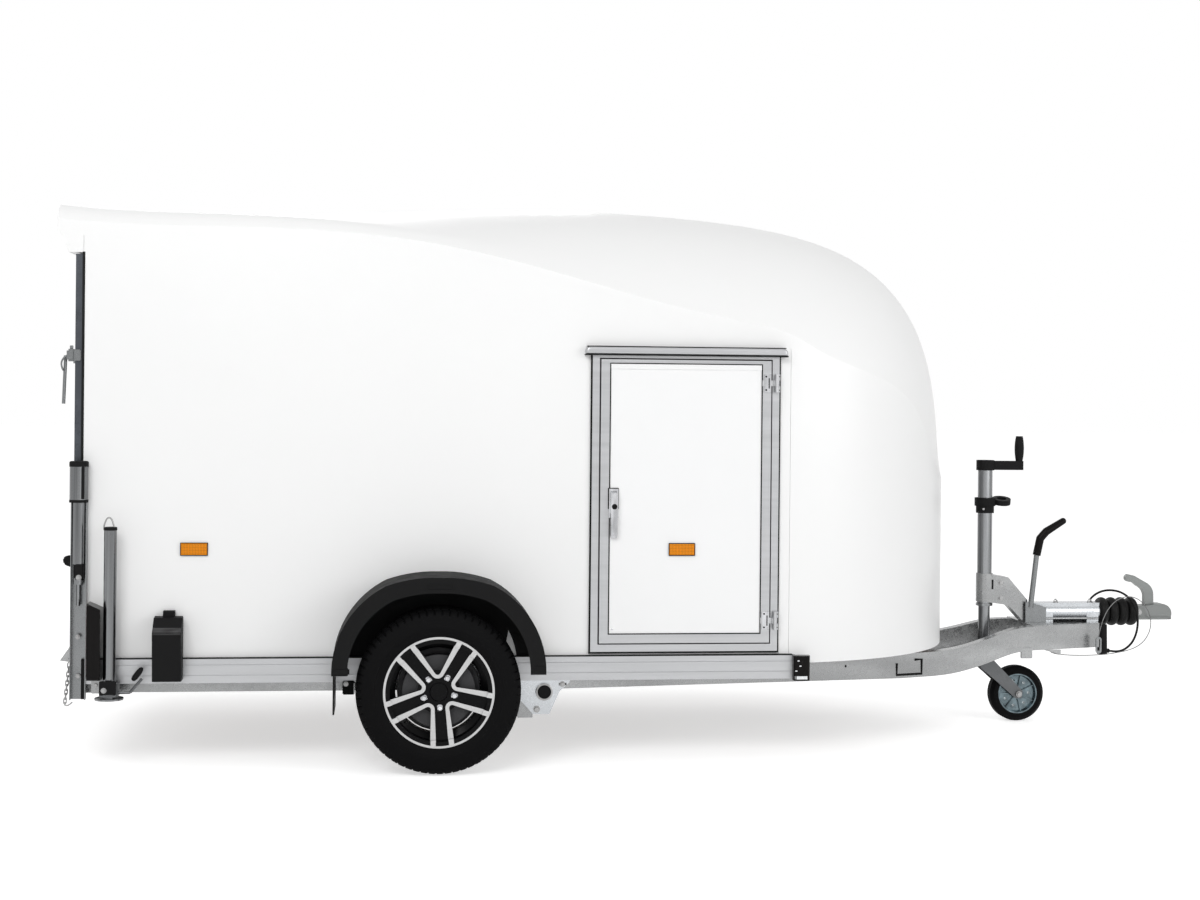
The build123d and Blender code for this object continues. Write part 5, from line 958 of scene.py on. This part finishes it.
camera_data = bpy.data.cameras.new("camera")
camera_data.sensor_width = SENSOR
camera_data.lens = FOCAL_PIXELS / IMAGE_WIDTH * SENSOR
camera_data.shift_y = -HORIZON_ABOVE_MIDDLE / IMAGE_WIDTH
camera_data.clip_end = 100
camera = bpy.data.objects.new("camera", camera_data)
turn = Matrix.Rotation(-YAW, 4, "Z") @ Matrix.Rotation(math.pi / 2, 4, "X") @ Matrix.Rotation(ROLL, 4, "Z")
camera.matrix_world = Matrix.Translation(at(*CAMERA_PLACE)) @ turn
bpy.context.scene.collection.objects.link(camera)
bpy.context.scene.camera = camera

# Floor, world and lamps, in metres

FLOOR_REACH = 60
FLOOR_HEIGHT = -0.0005
FLOOR_GREY = 0.86
FLOOR_LIFT = 0.56
WORLD_STRENGTH = 0.5

floor_mesh = bmesh.new()
for x, y in ((-1, -1), (1, -1), (1, 1), (-1, 1)):
    floor_mesh.verts.new((x * FLOOR_REACH, y * FLOOR_REACH, FLOOR_HEIGHT))
floor_mesh.faces.new(floor_mesh.verts)
floor_data = bpy.data.meshes.new("studio_floor")
floor_mesh.to_mesh(floor_data)
floor_mesh.free()
floor = bpy.data.objects.new("studio_floor", floor_data)
bpy.context.scene.collection.objects.link(floor)


def seen_directly(add):
    """1 on rays from the camera and in reflections or through glass, else 0."""
    path = add("ShaderNodeLightPath").outputs
    direct = calculate(add, "MAXIMUM", path["Is Camera Ray"], path["Is Glossy Ray"])
    return calculate(add, "MAXIMUM", direct, path["Is Transmission Ray"])


def floor_material():
    """Pale floor: white to the camera away from the object, and it keeps the shadow."""
    mat, shader, add, link = new_tree("studio_floor")
    shader.inputs["Base Color"].default_value = grey(FLOOR_GREY)
    shader.inputs["Roughness"].default_value = 0.9
    shader.inputs["Emission Color"].default_value = grey(1)
    link(calculate(add, "MULTIPLY", seen_directly(add), FLOOR_LIFT), shader.inputs["Emission Strength"])
    return mat


def studio_world():
    """Soft light from all round, which the camera and reflections see as white."""
    world = bpy.data.worlds.new("studio")
    world.use_nodes = True
    add, link = node_tools(world.node_tree)
    background = world.node_tree.nodes["Background"]
    background.inputs["Color"].default_value = grey(1)
    link(remap(add, seen_directly(add), WORLD_STRENGTH, 1.0), background.inputs["Strength"])
    return world


floor_data.materials.append(floor_material())
bpy.context.scene.world = studio_world()

# Name, place, aimed at, width, height, watts
LAMPS = (
    ("key_lamp", (-2.6, -6.0, 4.6), (0.0, 0.0, 0.8), 3.4, 2.4, 166),
    ("fill_lamp", (4.8, -5.2, 2.4), (0.8, 0.0, 0.8), 3.6, 3.0, 103),
    ("top_lamp", (0.2, 0.5, 5.6), (0.2, 0.0, 0.0), 5.5, 3.5, 12),
    ("back_lamp", (-1.5, 6.0, 3.6), (0.0, 0.0, 0.8), 4.0, 2.5, 80),
)
for name, spot, aim, width, height, watts in LAMPS:
    lamp_data = bpy.data.lights.new(name, "AREA")
    lamp_data.shape = "RECTANGLE"
    lamp_data.size = width
    lamp_data.size_y = height
    lamp_data.energy = watts
    lamp = bpy.data.objects.new(name, lamp_data)
    facing = (Vector(aim) - Vector(spot)).to_track_quat("-Z", "Y")
    lamp.matrix_world = Matrix.Translation(spot) @ facing.to_matrix().to_4x4()
    bpy.context.scene.collection.objects.link(lamp)

bpy.context.scene.view_settings.view_transform = "Standard"
